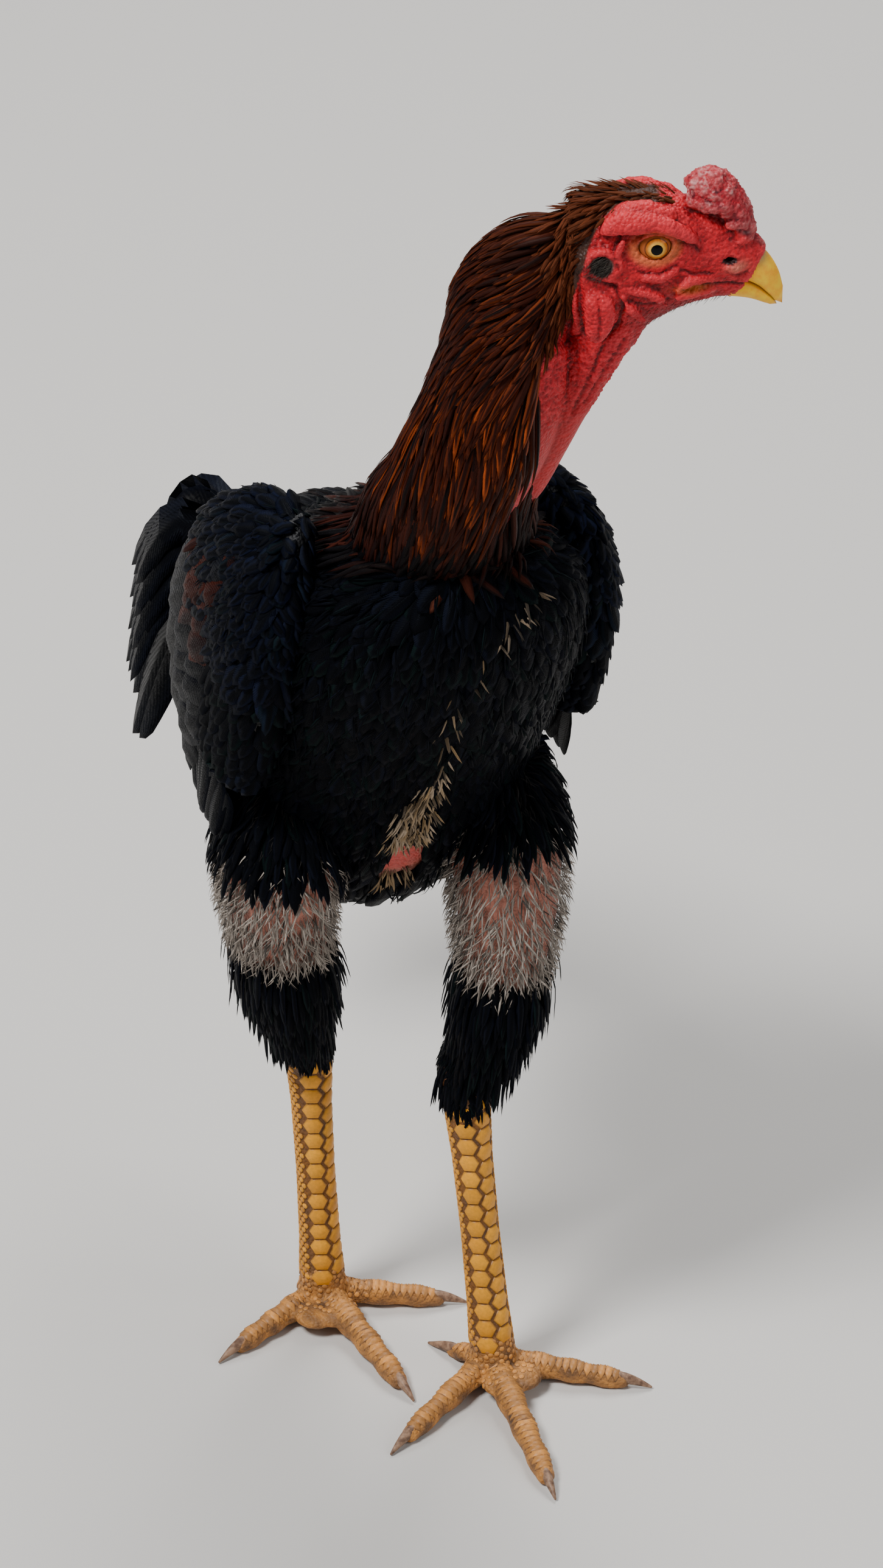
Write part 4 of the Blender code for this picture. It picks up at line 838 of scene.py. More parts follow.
# The areas of the coat's bake map: left, low, width and height, then the start and end of the axis
# that the roots lie round, and the way to the area's middle
BAKE_AREAS = {
    "torso": (0.02, 0.02, 0.44, 0.44, Vector((0, -0.04, 0.44)) + PLACE, Vector((0, 0.17, 0.31)) + PLACE,
              Vector((0, -0.5, -0.8))),
    "neck": (0.5, 0.02, 0.46, 0.44, Vector((0, -0.04, 0.44)) + PLACE, Vector((0.02, -0.07, 0.58)) + PLACE,
             Vector((0, -1, 0))),
    "tail": (0.02, 0.84, 0.44, 0.13, Vector((0, 0.15, 0.32)) + PLACE, Vector((0, 0.24, 0.28)) + PLACE, UP),
    "head": (0.5, 0.84, 0.46, 0.13, head_point(-0.035, 0, 0), head_point(0.045, 0, 0), UP),
}
for bake_side, bake_name, bake_left in ((1, "left", 0), (-1, "right", 0.24)):
    BAKE_AREAS["wing_" + bake_name] = (0.02 + bake_left, 0.5, 0.22, 0.3,
        at_side((0.055, -0.01, 0.44), bake_side), at_side((0.068, 0.04, 0.28), bake_side),
        Vector((bake_side, 0, 0)))
    bake_top, bake_end = (Vector(THIGH_LINE[bake_name][row][:3]) + PLACE for row in (0, -1))
    BAKE_AREAS["thigh_" + bake_name] = (0.5 + bake_left, 0.5, 0.22, 0.3, bake_top, bake_end,
        Vector((0, -1, 0)))


def bake_place(area, point):
    """The place of a root on the bake map: round and along the limb's own axis."""
    left, low, width, height, start, end, front = BAKE_AREAS[area]
    axis = end - start
    share = clamp((point - start).dot(axis) / axis.length_squared)
    out = point - start - axis * share
    direction = axis.normalized()
    ahead = (front - direction * front.dot(direction)).normalized()
    angle = math.atan2(out.dot(direction.cross(ahead)), out.dot(ahead))
    return left + width * (0.5 + angle / TAU), low + height * share


# Middle line of the pale ragged feathers down the breast to the bare keel, with the strip's half width
BREAST_STRIP = mm((
    ((23.4, -77.8, 434.4), 3), ((11.4, -81, 424.5), 1.2), ((-0.8, -81.7, 409.7), 1),
    ((-7.8, -76.6, 395.2), 1), ((-10.5, -71.8, 383.8), 1), ((-8.4, -63.2, 362.4), 1.4),
    ((-5.6, -51.8, 338.4), 2.6), ((-6.9, -44.5, 325.2), 3.4), ((-10.4, -38, 313.7), 6.6),
    ((-9.8, -27, 290.7), 8.5), ((-7.7, -13.9, 267), 13),
))
KEEL_PATCH = mm(((-8, -17.5, 272), 15))
NECK_BASE_PATCHES = mm((((-12, -79, 447), 8), ((-2, -83, 434), 6)))
WING_PATCH = mm(((-84, 28, 395), 36))
WHITE_SPOT = mm(((-24, 118, 368), 7))

BLUE_GLOSS = (0.62, 0.76, 1)
COPPER_GLOSS = (1, 0.62, 0.42)
BLACK = (0.0025, 0.0027, 0.0036)
# Blacks with a painted sheen: slate-blue, blue and green
SLATE_SHEEN_BLACK = (0.0065, 0.008, 0.0145)
BLUE_SHEEN_BLACK = (0.007, 0.0095, 0.023)
GREEN_SHEEN_BLACK = (0.005, 0.0115, 0.011)
PALE_BUFF = (0.56, 0.43, 0.3)
PALE_DOWN = (0.54, 0.47, 0.4)
MAHOGANY = (0.06, 0.011, 0.005)
# Darker red of the face's random mottling, also used as painted shade in its hollows and under the jaw
DARK_RED_MOTTLE_AND_SHADE = (0.11, 0.002, 0.005)
# Pink of random blotches on the face and of painted highlights on its ridges
PINK_BLOTCH_AND_HIGHLIGHT = (0.7, 0.04, 0.052)
COMB_DARK = (0.05, 0.005, 0.012)
COMB_CRUST = (0.62, 0.34, 0.32)
LID_ORANGE = (0.62, 0.17, 0.045)
SHANK_DARK = (0.42, 0.14, 0.012)
GRIME = (0.085, 0.05, 0.032)


def breast_share(point):
    """How much a place of the body belongs to the pale strip down the breast."""
    best = 0
    place = point - PLACE
    for (one, wide), (two, _) in zip(BREAST_STRIP, BREAST_STRIP[1:]):
        one, two = Vector(one), Vector(two)
        step = two - one
        share = clamp((place - one).dot(step) / step.length_squared)
        away = (place - one - step * share).length
        best = max(best, 1 - away / wide)
    return max(best, 0)


def near(point, mark):
    """1 in the middle of a round marking, falling to 0 at its edge."""
    middle, size = mark
    return max(1 - (point - PLACE - Vector(middle)).length / size, 0)


def covers(place, heading, length, mark):
    """How much a feather laid from a place would cover a round marking."""
    heading = heading.normalized()
    return max(near(place + heading * (length * share), mark) for share in (0, 0.25, 0.5, 0.75, 1))


def mixed(one, two, share):
    return tuple(a + (b - a) * share for a, b in zip(one, two))


def varied(colour, chance, amount):
    scale = 1 + chance.uniform(-amount, amount)
    return tuple(clamp(value * scale) for value in colour)


def jitter(chance, reach):
    return Vector([chance.uniform(-reach, reach) for _ in range(3)])


def torso_sections(depth):
    return drawn_in(placed(TORSO_SECTIONS), depth)


def neck_sections(depth):
    """The neck's sections drawn in at the back and sides, as far as the nape."""
    sections = []
    nape = (head_point(-0.031, 0, -0.046), head_point(-0.031, 0, 0.0135), 0.0165)
    for front, back, half in [*placed(NECK_SECTIONS), nape]:
        inwards = (front - back).normalized()
        sections.append((front - inwards * depth * 0.3, back + inwards * depth, half - depth))
    return sections


def wing_sections(side, core):
    sections = []
    for front, back, half in WING_SECTIONS[: WING_CORE_SECTIONS if core else None]:
        front, back = at_side(front, side), at_side(back, side)
        if core:
            back = front.lerp(back, WING_CORE_CHORD)
            half *= WING_CORE_THICKNESS
        sections.append((front, back, half))
    return sections


def leg_frame(side):
    """A foot's heading, the way up its shank, the shank's front, and the foot's and hock's places."""
    foot, hock = Vector(FOOT_ROOT[side]), Vector(HOCK[side])
    heading = Vector((*TOES[side]["middle"][:2], 0)).normalized()
    up = (hock - foot).normalized()
    front = (heading - up * heading.dot(up)).normalized()
    return heading, up, front, foot + PLACE, hock + PLACE


def thigh_sections(side, depth):
    """The thigh's sections, drawn in to a depth, down to the knob of the hock."""
    heading, up, front, _, hock = leg_frame(side)
    sections = []
    for (x, y, z, half_width, half_depth), inward in zip(THIGH_LINE[side], (0, 0, 0, 0.0014, 0.0028)):
        middle = Vector((x, y, z)) + PLACE
        inward = max(inward, depth)
        reach = half_depth - inward
        sections.append((middle + heading * reach, middle - heading * reach, half_width - inward))
    for above, half_depth, half_width in mm(((14, 11.2, 10.1), (0, 11.8, 10.4), (-12, 11, 9.8))):
        middle = hock + up * above
        sections.append((middle + front * half_depth, middle - front * half_depth, half_width))
    return sections


def torso_tube(depth):
    return shell("guide", torso_sections(depth), 44, 48, fullness=BREAST_FULLNESS)


def neck_tube(depth):
    return shell("guide", neck_sections(depth), 40, 40)


def skull_tube(rings, sides):
    return shell("skull", head_sections(SKULL_SECTIONS), rings, sides, (None, head_point(*BEAK_TIP)))


def arm_tube(side):
    return shell("arm_skin", wing_sections(side, True), 30, 32, (at_side(WING_TOP, side), None))


def make_socket_cutters(side):
    """The eyeball's room and the almond opening in front of it."""
    ball = blob("socket", head_matrix(0, side * EYE_SPREAD, 0), (EYE_RADIUS + 0.0001,) * 3, 32, 20)
    opening = head_matrix(0, side * (EYE_SPREAD + 0.0075), 0, LID_TILT)
    return [ball, blob("opening", opening, EYE_OPENING, 32, 20)]


def lid_ring(side, grow, out, thickness):
    """A lid that hugs the eyeball round its almond opening."""
    matrix = head_matrix(0, side * EYE_SPREAD, 0, LID_TILT)
    rings, sides = 48, 10
    reach = EYE_RADIUS + out
    line = []
    for ring in range(rings):
        angle = TAU * ring / rings
        x, z = LID_SIZE[0] * grow * math.cos(angle), LID_SIZE[1] * grow * math.sin(angle)
        x *= 1 - 0.1 * abs(math.sin(angle))
        x = min(max(x, -0.98 * reach), 0.98 * reach)
        y = math.sqrt(max(reach**2 - (x * 0.86) ** 2 - z**2, 1e-6))
        line.append(matrix @ Vector((x, side * y, z)))
    middle = sum(line, Vector()) / rings
    deselect()
    bpy.ops.mesh.primitive_torus_add(major_segments=rings, minor_segments=sides, major_radius=1,
        minor_radius=0.1)
    obj = bpy.context.object
    points = []
    for ring, place in enumerate(line):
        along = (line[(ring + 1) % rings] - line[ring - 1]).normalized()
        away = (place - middle).normalized()
        away = (away - along * away.dot(along)).normalized()
        up = along.cross(away)
        for turn in range(sides):
            angle = TAU * turn / sides
            points.append(place + (away * math.cos(angle) + up * math.sin(angle)) * thickness)
    set_points(obj, np.array(points))
    return edit_mesh(obj, ALL, OUTWARDS)


def comb_place(forward):
    """Where a point of the comb's solid lies on the shorter comb of the skin."""
    return COMB_MIDDLE + (forward - COMB_MIDDLE) * COMB_SHARE


def comb_lumps(chance):
    """The comb's core and the many bulbs that crowd over it."""
    draw = chance.uniform
    short = [((comb_place(a[0]), a[1]), (comb_place(b[0]), b[1]), half) for a, b, half in COMB_SECTIONS]
    ends = (head_point(comb_place(0.0405), 0, -0.001), head_point(comb_place(0.0105), 0, 0.016))
    lumps = [shell("comb_core", drawn_in(head_sections(short), 0.0014), 16, 20, ends)]
    rows = spline([(*root, *crest, half) for root, crest, half in COMB_SECTIONS], 13)
    for row in rows[1:]:
        root, crest, half = Vector((row[0], row[1])), Vector((row[2], row[3])), row[4]
        for across in np.linspace(-1, 1, 7):
            turn = across * 1.5 + draw(-0.15, 0.15)
            lift = 0.26 + 0.58 * math.cos(turn)
            place = root.lerp(crest, lift)
            size = draw(0.0014, 0.0034)
            place.x = comb_place(place.x - 0.2 * max(place.x - 0.028, 0))
            matrix = head_matrix(place.x + draw(-0.001, 0.001), half * 0.78 * math.sin(turn), place.y)
            lumps.append(blob("bulb", matrix, (size, size * 1.05, size * 0.9), 14, 10))
    return lumps


# Folds of the face's flesh: points along each forward, out and up in the head frame, and its radius
FOLDS = mm((
    (((24, 9.8, -16.5), (15, 13, -15), (8.5, 14.8, -20)), 2),
    (((23.5, 9.2, -21.5), (15, 12.5, -21.5), (8, 14.6, -23)), 1.8),
    (((27, 9.2, -10.5), (30.5, 8.8, -12), (34.5, 7, -11.2)), 2.2),
    (((-5, 16, -12), (2, 15.6, -12.8), (9, 14, -10)), 1.5),
    (((-12, 16.5, 4), (-14.5, 16.8, -2), (-12, 16.8, -9)), 1.4),
    (((-10, 16.5, -18), (-1, 15.8, -20), (6, 14.6, -26)), 1.6),
    (((-16, 16.5, -17), (-9, 16, -26), (-3, 14.5, -33)), 1.8),
))


def face_folds():
    """Folds of flesh at the corners of the mouth, over the nostrils, behind the eyes and round the ears."""
    folds = []
    for side in (-1, 1):

        def cords(lines):
            for line, radius in lines:
                folds.append(cord_along("fold", [head_point(f, side * s, u) for f, s, u in line], radius))

        cords(FOLDS)
        ear = head_matrix(EAR_CENTRE[0], side * EAR_CENTRE[1], EAR_CENTRE[2])
        folds.append(bead("ear_rim", ear, (EAR_RADIUS + 0.0012,) * 2, 0.0016))
        folds.append(lid_ring(side, 1, 0.0004, 0.0009))
        folds.append(lid_ring(side, 1.24, -0.0004, 0.001))
        cords(BROWS)
        lobe = [(head_point(front[0], side * out, front[1]), head_point(back[0], side * out, back[1]), half)
            for front, back, half, out in EARLOBE_SECTIONS]
        ends = (head_point(-0.023, side * 0.0165, -0.015), head_point(-0.0218, side * 0.017, -0.0412))
        folds.append(shell("lobe", lobe, 18, 20, ends))
    return folds


def throat_tube():
    """The bare front of the neck with its loose ridge."""
    line = np.array([(forward, up) for forward, up, _ in THROAT_LINE])
    along = np.gradient(line, axis=0)
    sections = []
    for (forward, up, radius), (ahead, rise) in zip(THROAT_LINE, along):
        across = Vector((-rise, ahead)).normalized() * radius * 0.97
        front = head_point(forward + across.x, 0, up + across.y)
        back = head_point(forward - across.x, 0, up - across.y)
        sections.append((front, back, radius * 0.86))
    return shell("throat_skin", sections, 40, 36)


def make_head_form():
    """Skull, lids and folds, cut where the eyes, nostrils, ears and beak go."""
    skull = skull_tube(40, 40)
    root = head_point(BEAK_ROOT[0], 0, BEAK_ROOT[1])
    normal = HEAD_AHEAD * BEAK_ROOT_NORMAL[0] + UP * BEAK_ROOT_NORMAL[1]
    edit_mesh(skull, ALL, ("bisect", {"plane_co": root, "plane_no": normal, "use_fill": True,
        "clear_outer": True}))
    form = melt("head_form", [skull, *face_folds()], 0.0006, 2)
    cutters = []
    for side in (-1, 1):
        cutters += make_socket_cutters(side)
        nostril = head_matrix(NOSTRIL_CENTRE[0], side * NOSTRIL_CENTRE[1], NOSTRIL_CENTRE[2],
            math.radians(12))
        cutters.append(blob("nostril", nostril, NOSTRIL_SIZE))
        ear = head_matrix(EAR_CENTRE[0], side * (EAR_CENTRE[1] + 0.0022), EAR_CENTRE[2])
        cutters.append(blob("ear_dip", ear, (0.0046, 0.0024, 0.0046)))
    for cutter in cutters:
        add_modifier(form, "BOOLEAN", operation="DIFFERENCE", solver="MANIFOLD", object=cutter)
        bpy.data.objects.remove(cutter)
    return form


def toe_shape(side, toe):
    """A toe's start, way, length and radius, and a function for its height and half size along it."""
    x, y, radius, joints = TOES[side][toe]
    radius *= TOE_SLIM
    along = Vector((x, y, 0))
    length = along.length - CLAW_LENGTH
    along.normalize()
    foot = Vector(FOOT_ROOT[side]) + PLACE

    def shape(place):
        size = radius * (1 - (1 - TOE_TAPER) * place)
        swell = TOE_PAD_SWELL * (0.5 - 0.5 * math.cos(TAU * joints * place))
        height = TOE_ROOT_HEIGHT * (1 - place) + (size - TOE_PAD_SWELL * 0.4) * place
        return height, size + swell

    return Vector((foot.x, foot.y, 0)), along, length, radius, shape


def make_foot_forms(side):
    """The shank, the pad under it and the toes with the webs between their roots."""
    _, _, front, foot, hock = leg_frame(side)
    sections = []
    for place, half_width, half_depth in [(-0.09, 0.0108, 0.0118), *SHANK_PROFILE, (1.06, 0.0104, 0.0117)]:
        middle = foot.lerp(hock, place)
        reach = front * (half_depth - SHANK_DEPTH)
        sections.append((middle + reach, middle - reach, half_width - SHANK_DEPTH))
    forms = [shell("shank_skin", sections, 60, 28)]
    pad = Matrix.Translation((foot.x, foot.y, PAD_HEIGHT))
    forms.append(blob("pad", pad, (PAD_SIZE[0] * 0.82, PAD_SIZE[1] * 0.82, PAD_SIZE[2] - 0.0045)))
    roots = []
    for toe in TOES[side]:
        start, along, length, _, shape = toe_shape(side, toe)
        rows = []
        for place in np.linspace(0, 1, 44):
            middle = start + along * (length * place)
            middle.z, size = shape(place)
            rows.append((middle + UP * size, middle - UP * size, size * 0.95))
        forms.append(shell("toe_skin", rows, 44, 22))
        top, low, half = rows[-1]
        forms.append(blob("toe_end", Matrix.Translation((top + low) / 2), (half,) * 3))
        roots.append((toe, along))
    for (one, one_way), (two, two_way) in zip(roots, roots[1:] + roots[:1]):
        if "back" not in (one, two):
            middle = (one_way + two_way).normalized()
            web = Matrix.Translation(Vector((foot.x, foot.y, 0.0076)) + middle * 0.0165)
            forms.append(blob("web", web, (0.0105, 0.0105, 0.004)))
    return forms


def flatten_soles(points):
    """Presses what would be under the floor flat onto it."""
    points[:, 2] = np.maximum(points[:, 2], 0)
    return points


def skin_sculpt(obj):
    """Pebbles, wrinkles and fine folds of the bare skin, worked into its points."""
    points, normals = points_of(obj), normals_of(obj)
    local = in_head(points)
    lower = points[:, 2] - PLACE.z
    head = smoothstep(0.505, 0.52, lower)
    fine = np.nonzero(head > 0)[0]
    push = np.zeros(len(points))
    if len(fine):
        near_points = points[fine]
        pebble = cells(near_points, 0.0016)
        lumps = grain(near_points, 0.006, 3)
        wrinkle = grain(near_points * np.array((1, 1, 2.6)), 0.003, 9)
        forward, up = local[fine, 0], local[fine, 2]
        comb = smoothstep(0, 1, comb_share(forward, up))
        face = 1 - comb
        amount = pebble * 0.00046 * (1 + 0.5 * comb) + lumps * 0.0006
        throat = smoothstep(-0.034, -0.05, up)
        amount += np.abs(wrinkle) * (0.0009 * throat + 0.00035 * face)
        mouth = np.interp(forward, *zip(*GAPE))
        groove = np.exp(-(((up - mouth) / 0.00055) ** 2)) * smoothstep(0.0085, 0.012, forward)
        amount -= groove * 0.0011 * (1 - smoothstep(0.036, 0.04, forward))
        over = up - np.interp(forward, *zip(*BROW_CREASE))
        brow = smoothstep(-0.0002, 0.0012, over) * (1 - smoothstep(0.004, 0.01, over)) * 0.001
        brow -= np.exp(-(((over + 0.0006) / 0.0009) ** 2)) * 0.001
        amount += brow * smoothstep(-0.024, -0.018, forward) * (1 - smoothstep(0.014, 0.019, forward)) * face
        for line, depth, width in CREASES:
            amount -= depth * np.exp(-((off_line(forward, up, line) / width) ** 2))
        around_eye = np.sqrt(forward**2 + (up * 1.35) ** 2)
        amount *= smoothstep(0.008, 0.0105, around_eye) * 0.9 + 0.1
        push[fine] = amount * head[fine]
    leg = 1 - smoothstep(0.148, 0.16, lower)
    feet = np.nonzero(leg > 0)[0]
    if len(feet):
        push[feet] += cells(points[feet], 0.0018) * 0.00022 * leg[feet]
    set_points(obj, flatten_soles(points + normals * push[:, None]))


# How far forward the hackle covers the neck's skin: up, forward
NAPE_LINE = mm(((-125, -74), (-45, -46), (-30, -40), (0, -32), (15, -30)))
# How low the crown's feathers reach: forward, up
CROWN_LINE = mm(((-60, -50), (-34, -34), (-26, -2), (-20, 11.5), (10, 12.5)))
# Creases of the face and throat: forward and up along each, its depth and its width
CREASES = mm((
    (((-25, -12), (-15, -16), (-12, -25), (-13, -34), (-19, -42)), 1.6, 1),
    (((-29, -10), (-28.5, -25), (-27, -38)), 1.2, 1),
    (((-21.5, -20), (-20.5, -30), (-21.5, -38)), 0.7, 0.8),
    (((-6, -10), (2, -11), (8, -8)), 0.8, 0.7),
    (((-13, 6), (-16, -1), (-14, -8)), 0.9, 0.8),
    (((6, -24), (-4, -25), (-11, -22)), 0.7, 0.9),
    (((23, -13), (15, -12.5), (10, -10)), 0.7, 0.7),
    (((28, -13), (32, -15), (36, -14)), 0.6, 0.7),
    (((-19, -44), (-25, -62), (-32, -80), (-40, -100)), 1, 1),
    (((-11, -42), (-18, -56), (-26, -72)), 0.8, 0.9),
))


def off_line(forward, up, line):
    """How far points of the face are from a line along it, seen from the side."""
    best = np.full(len(forward), 1)
    for (x, y), (x2, y2) in zip(line, line[1:]):
        dx, dy = x2 - x, y2 - y
        share = np.clip(((forward - x) * dx + (up - y) * dy) / (dx * dx + dy * dy), 0, 1)
        best = np.minimum(best, np.hypot(forward - x - dx * share, up - y - dy * share))
    return best


def hollows(obj, rounds):
    """How deep each point lies in the skin around it, in metres: below 0 on ridges."""
    points, normals = points_of(obj), normals_of(obj)
    edges = np.empty(len(obj.data.edges) * 2, np.int32)
    obj.data.edges.foreach_get("vertices", edges)
    one, two = edges.reshape(-1, 2).T
    count = np.bincount(one, minlength=len(points)) + np.bincount(two, minlength=len(points))
    smooth = points.copy()
    for _ in range(rounds):
        total = np.empty_like(smooth)
        for axis in range(3):
            total[:, axis] = np.bincount(one, smooth[two, axis], len(points))
            total[:, axis] += np.bincount(two, smooth[one, axis], len(points))
        smooth = total / np.maximum(count, 1)[:, None]
    return ((smooth - points) * normals).sum(axis=1)


# Where the comb meets the face: forward, up
COMB_EDGE = mm(((8, 22), (12.5, 13.5), (20, 11), (29, 5.5), (35.5, 0), (42, -6)))


def comb_share(forward, up):
    """1 on the comb and 0 on the face."""
    line = np.interp(forward, *zip(*COMB_EDGE))
    inside = (forward > 0.0085) & (forward < 0.046)
    return np.where(inside, np.clip((up - line) / 0.002 + 0.5, 0, 1), 0)


def skin_colours(obj, settings):
    """The bare skin's colour at each point, with painted shade and painted highlights on the face."""
    points = points_of(obj)
    local = in_head(points)
    forward, side, up = local[:, 0], np.abs(local[:, 1]), local[:, 2]
    low = points[:, 2]
    colours = np.tile(np.array((0.004, 0.004, 0.005)), (len(points), 1))
    thigh = 1 - smoothstep(0.285, 0.3, low)
    colours = mix(colours, (0.42, 0.16, 0.11), thigh)
    head = smoothstep(0.462, 0.48, low)
    where = np.nonzero(head > 0)[0]
    f, s, u, near_points = forward[where], side[where], up[where], points[where]
    blotch = grain(near_points, 0.0045, 1)
    specks = grain(near_points, 0.0012, 5)
    # How hollow each point lies, for painted shade in the face's creases and painted highlights on its ridges
    deep = hollows(obj, 4)[where] / 0.00016 + hollows(obj, 24)[where] / 0.0009
    # Darker in random mottling and as painted shade in the hollows
    face = mix(settings.skin_red, DARK_RED_MOTTLE_AND_SHADE, np.clip(0.18 + blotch * 0.34 + specks * 0.18 + deep * 0.24, 0, 1))
    # Pinker in random blotches and as painted highlights on the ridges
    face = mix(face, PINK_BLOTCH_AND_HIGHLIGHT, np.clip(-deep * 0.16 - 0.04 + blotch * 0.2, 0, 0.5))
    # Painted shade under the jaw
    under = smoothstep(-0.02, -0.034, u) * smoothstep(-0.012, 0.004, f)
    face = mix(face, DARK_RED_MOTTLE_AND_SHADE, under * 0.75)
    comb = comb_share(f, u)
    patches = np.clip(grain(near_points, 0.0055, 15) * 1.8 + 0.35, 0, 1)
    crust = np.clip(grain(near_points, 0.0011, 8) * 1.9 + 0.15, 0, 1) * patches
    dark = np.clip(grain(near_points, 0.003, 12) * 1.8 - 0.1, 0, 1)
    crust = crust * (0.25 + 0.75 * smoothstep(0.01, 0.024, u - 0.4 * (f - 0.02)))
    low_front = (1 - smoothstep(0.002, 0.014, u)) * smoothstep(0.022, 0.03, f)
    # Random dark patches, darker at the comb's low front, and painted shade in its hollows
    dark_patches_and_shade = dark * (1 - 0.5 * patches) + low_front * 0.4 + deep * 0.2
    comb_colour = mix(settings.comb_red, COMB_DARK, np.clip(dark_patches_and_shade, 0, 0.9))
    comb_colour = mix(comb_colour, COMB_CRUST, np.clip(crust * 1.3 - deep * 0.05, 0, 0.85))
    face = mix(face, comb_colour, comb)
    back = np.interp(f, *zip(*CROWN_LINE))
    ahead = f + 0.8 * np.maximum(s - 0.006, 0)
    crown = smoothstep(-0.0005, 0.001, u - back) * (1 - smoothstep(0, 0.004, ahead))
    crown *= 1 - smoothstep(0, 0.0016, s - crown_reach(f))
    face = mix(face, (0.045, 0.016, 0.009), crown)
    eye = np.sqrt((f / 0.008) ** 2 + (u / 0.0062) ** 2)
    rim = 1 - smoothstep(1, 1.5, eye)
    face = mix(face, LID_ORANGE, rim * 0.6 * (1 - 0.6 * smoothstep(0, 0.004, u)))
    eye = np.sqrt((f / 0.0078) ** 2 + (u / 0.005) ** 2)
    edge = 1 - smoothstep(0.8, 1, eye)
    face = mix(face, mix((0.3, 0.07, 0.02), (0.03, 0.008, 0.006), smoothstep(-0.001, 0.003, u)), edge)
    gape = np.exp(-(((f - 0.0145) / 0.0055) ** 2 + ((u + 0.0188) / 0.0016) ** 2))
    face = mix(face, (0.56, 0.15, 0.025), np.clip(gape * 0.9, 0, 1))
    mouth = np.interp(f, *zip(*GAPE))
    # Painted shade along the mouth's groove
    groove = np.exp(-(((u - mouth) / 0.0005) ** 2)) * smoothstep(0.0095, 0.0125, f)
    face = mix(face, (0.045, 0.006, 0.006), np.clip(groove * 0.9, 0, 1))
    cere = np.exp(-(((f - 0.032) / 0.0038) ** 2 + ((u + 0.0112) / 0.0022) ** 2))
    face = mix(face, (0.55, 0.17, 0.11), np.clip(cere * 0.8, 0, 1))
    # Painted shade inside the nostril
    nostril = ((f - NOSTRIL_CENTRE[0]) / 0.0036) ** 2 + ((u - NOSTRIL_CENTRE[2]) / 0.0014) ** 2
    face = mix(face, (0.02, 0.004, 0.005), 1 - smoothstep(0.7, 1.2, nostril))
    ear = np.sqrt((f - EAR_CENTRE[0]) ** 2 + (u - EAR_CENTRE[2]) ** 2)
    face = mix(face, (0.06, 0.04, 0.034), 1 - smoothstep(0.0038, 0.0052, ear))
    throat = smoothstep(-0.05, -0.1, u)
    face = mix(face, (0.4, 0.03, 0.026), throat * 0.6)
    colours[where] = mix(colours[where], face, head[where])
    leg = 1 - smoothstep(0.15, 0.172, low)
    where = np.nonzero(leg > 0)[0]
    near_points = points[where]
    stain = np.clip(grain(near_points, 0.01, 2) * 0.8 + 0.25, 0, 1)
    scale = mix((0.2, 0.075, 0.012), GRIME, stain)
    toes = 1 - smoothstep(0.016, 0.034, near_points[:, 2])
    dirt = np.clip(0.55 + grain(near_points, 0.006, 4) * 0.6, 0, 1)
    scale = mix(scale, mix(settings.toe_orange, GRIME, dirt), toes)
    colours[where] = mix(colours[where], scale, leg[where])
    keel = np.array([near(Vector(point), KEEL_PATCH) for point in points[~(head > 0)]])
    rest = np.nonzero(~(head > 0))[0]
    colours[rest] = mix(colours[rest], (0.52, 0.07, 0.055), np.clip(keel * 2.5, 0, 1))
    paint(obj, "tint", colours)


def thin_out(obj, plumed, scaled):
    """Coarsens the skin where plumage and the legs' plates will cover it, to a share of its faces each."""
    for low, high, keep in ((0.176, 0.495, plumed), (-1, 0.176, scaled), (0.495, 1, plumed)):
        points = points_of(obj)
        covered = (points[:, 2] > low) & (points[:, 2] <= high)
        if high == 1:
            local = in_head(points)
            covered &= local[:, 0] < np.interp(local[:, 2], *zip(*NAPE_LINE))
        index = np.nonzero(covered)[0]
        group = obj.vertex_groups.new(name="covered")
        group.add(index.tolist(), 1, "REPLACE")
        share = len(index) / len(points)
        add_modifier(obj, "DECIMATE", ratio=1 - share * (1 - keep), vertex_group="covered")
        obj.vertex_groups.clear()


FLESH = ("torso", "neck", "head", "throat", "comb", "ear_left", "ear_right", "earlobe_left", "earlobe_right",
    "wing_left", "wing_right", "tail")


def build_skin(settings):
    """One skin over the head, body, wings' arms, thighs, shanks and feet."""
    chance = random.Random(5)
    forms = [make_head_form(), melt("comb_form", comb_lumps(chance), 0.0006, 4), throat_tube(),
        shell("torso_skin", torso_sections(BODY_COAT), 70, 72, fullness=BREAST_FULLNESS),
        shell("neck_skin", neck_sections(NECK_COAT), 50, 48)]
    replaced = list(FLESH)
    for side, name in SIDES:
        forms += [arm_tube(side), shell("thigh_skin", thigh_sections(name, THIGH_COAT), 50, 36)]
        forms += make_foot_forms(name)
        replaced += ["thigh_" + name, "shank_" + name, "foot_" + name]
        replaced += ["toe_{}_{}".format(toe, name) for toe in TOES[name]]
    skin = melt("skin", forms, settings.skin_voxel, 2)
    thin_out(skin, 0.1, 0.55)
    skin_sculpt(skin)
    skin_colours(skin, settings)
    skin.data.materials.clear()
    hand_in(skin, skin_material("bare_skin", 0.44, 760, 0.08), replaced)


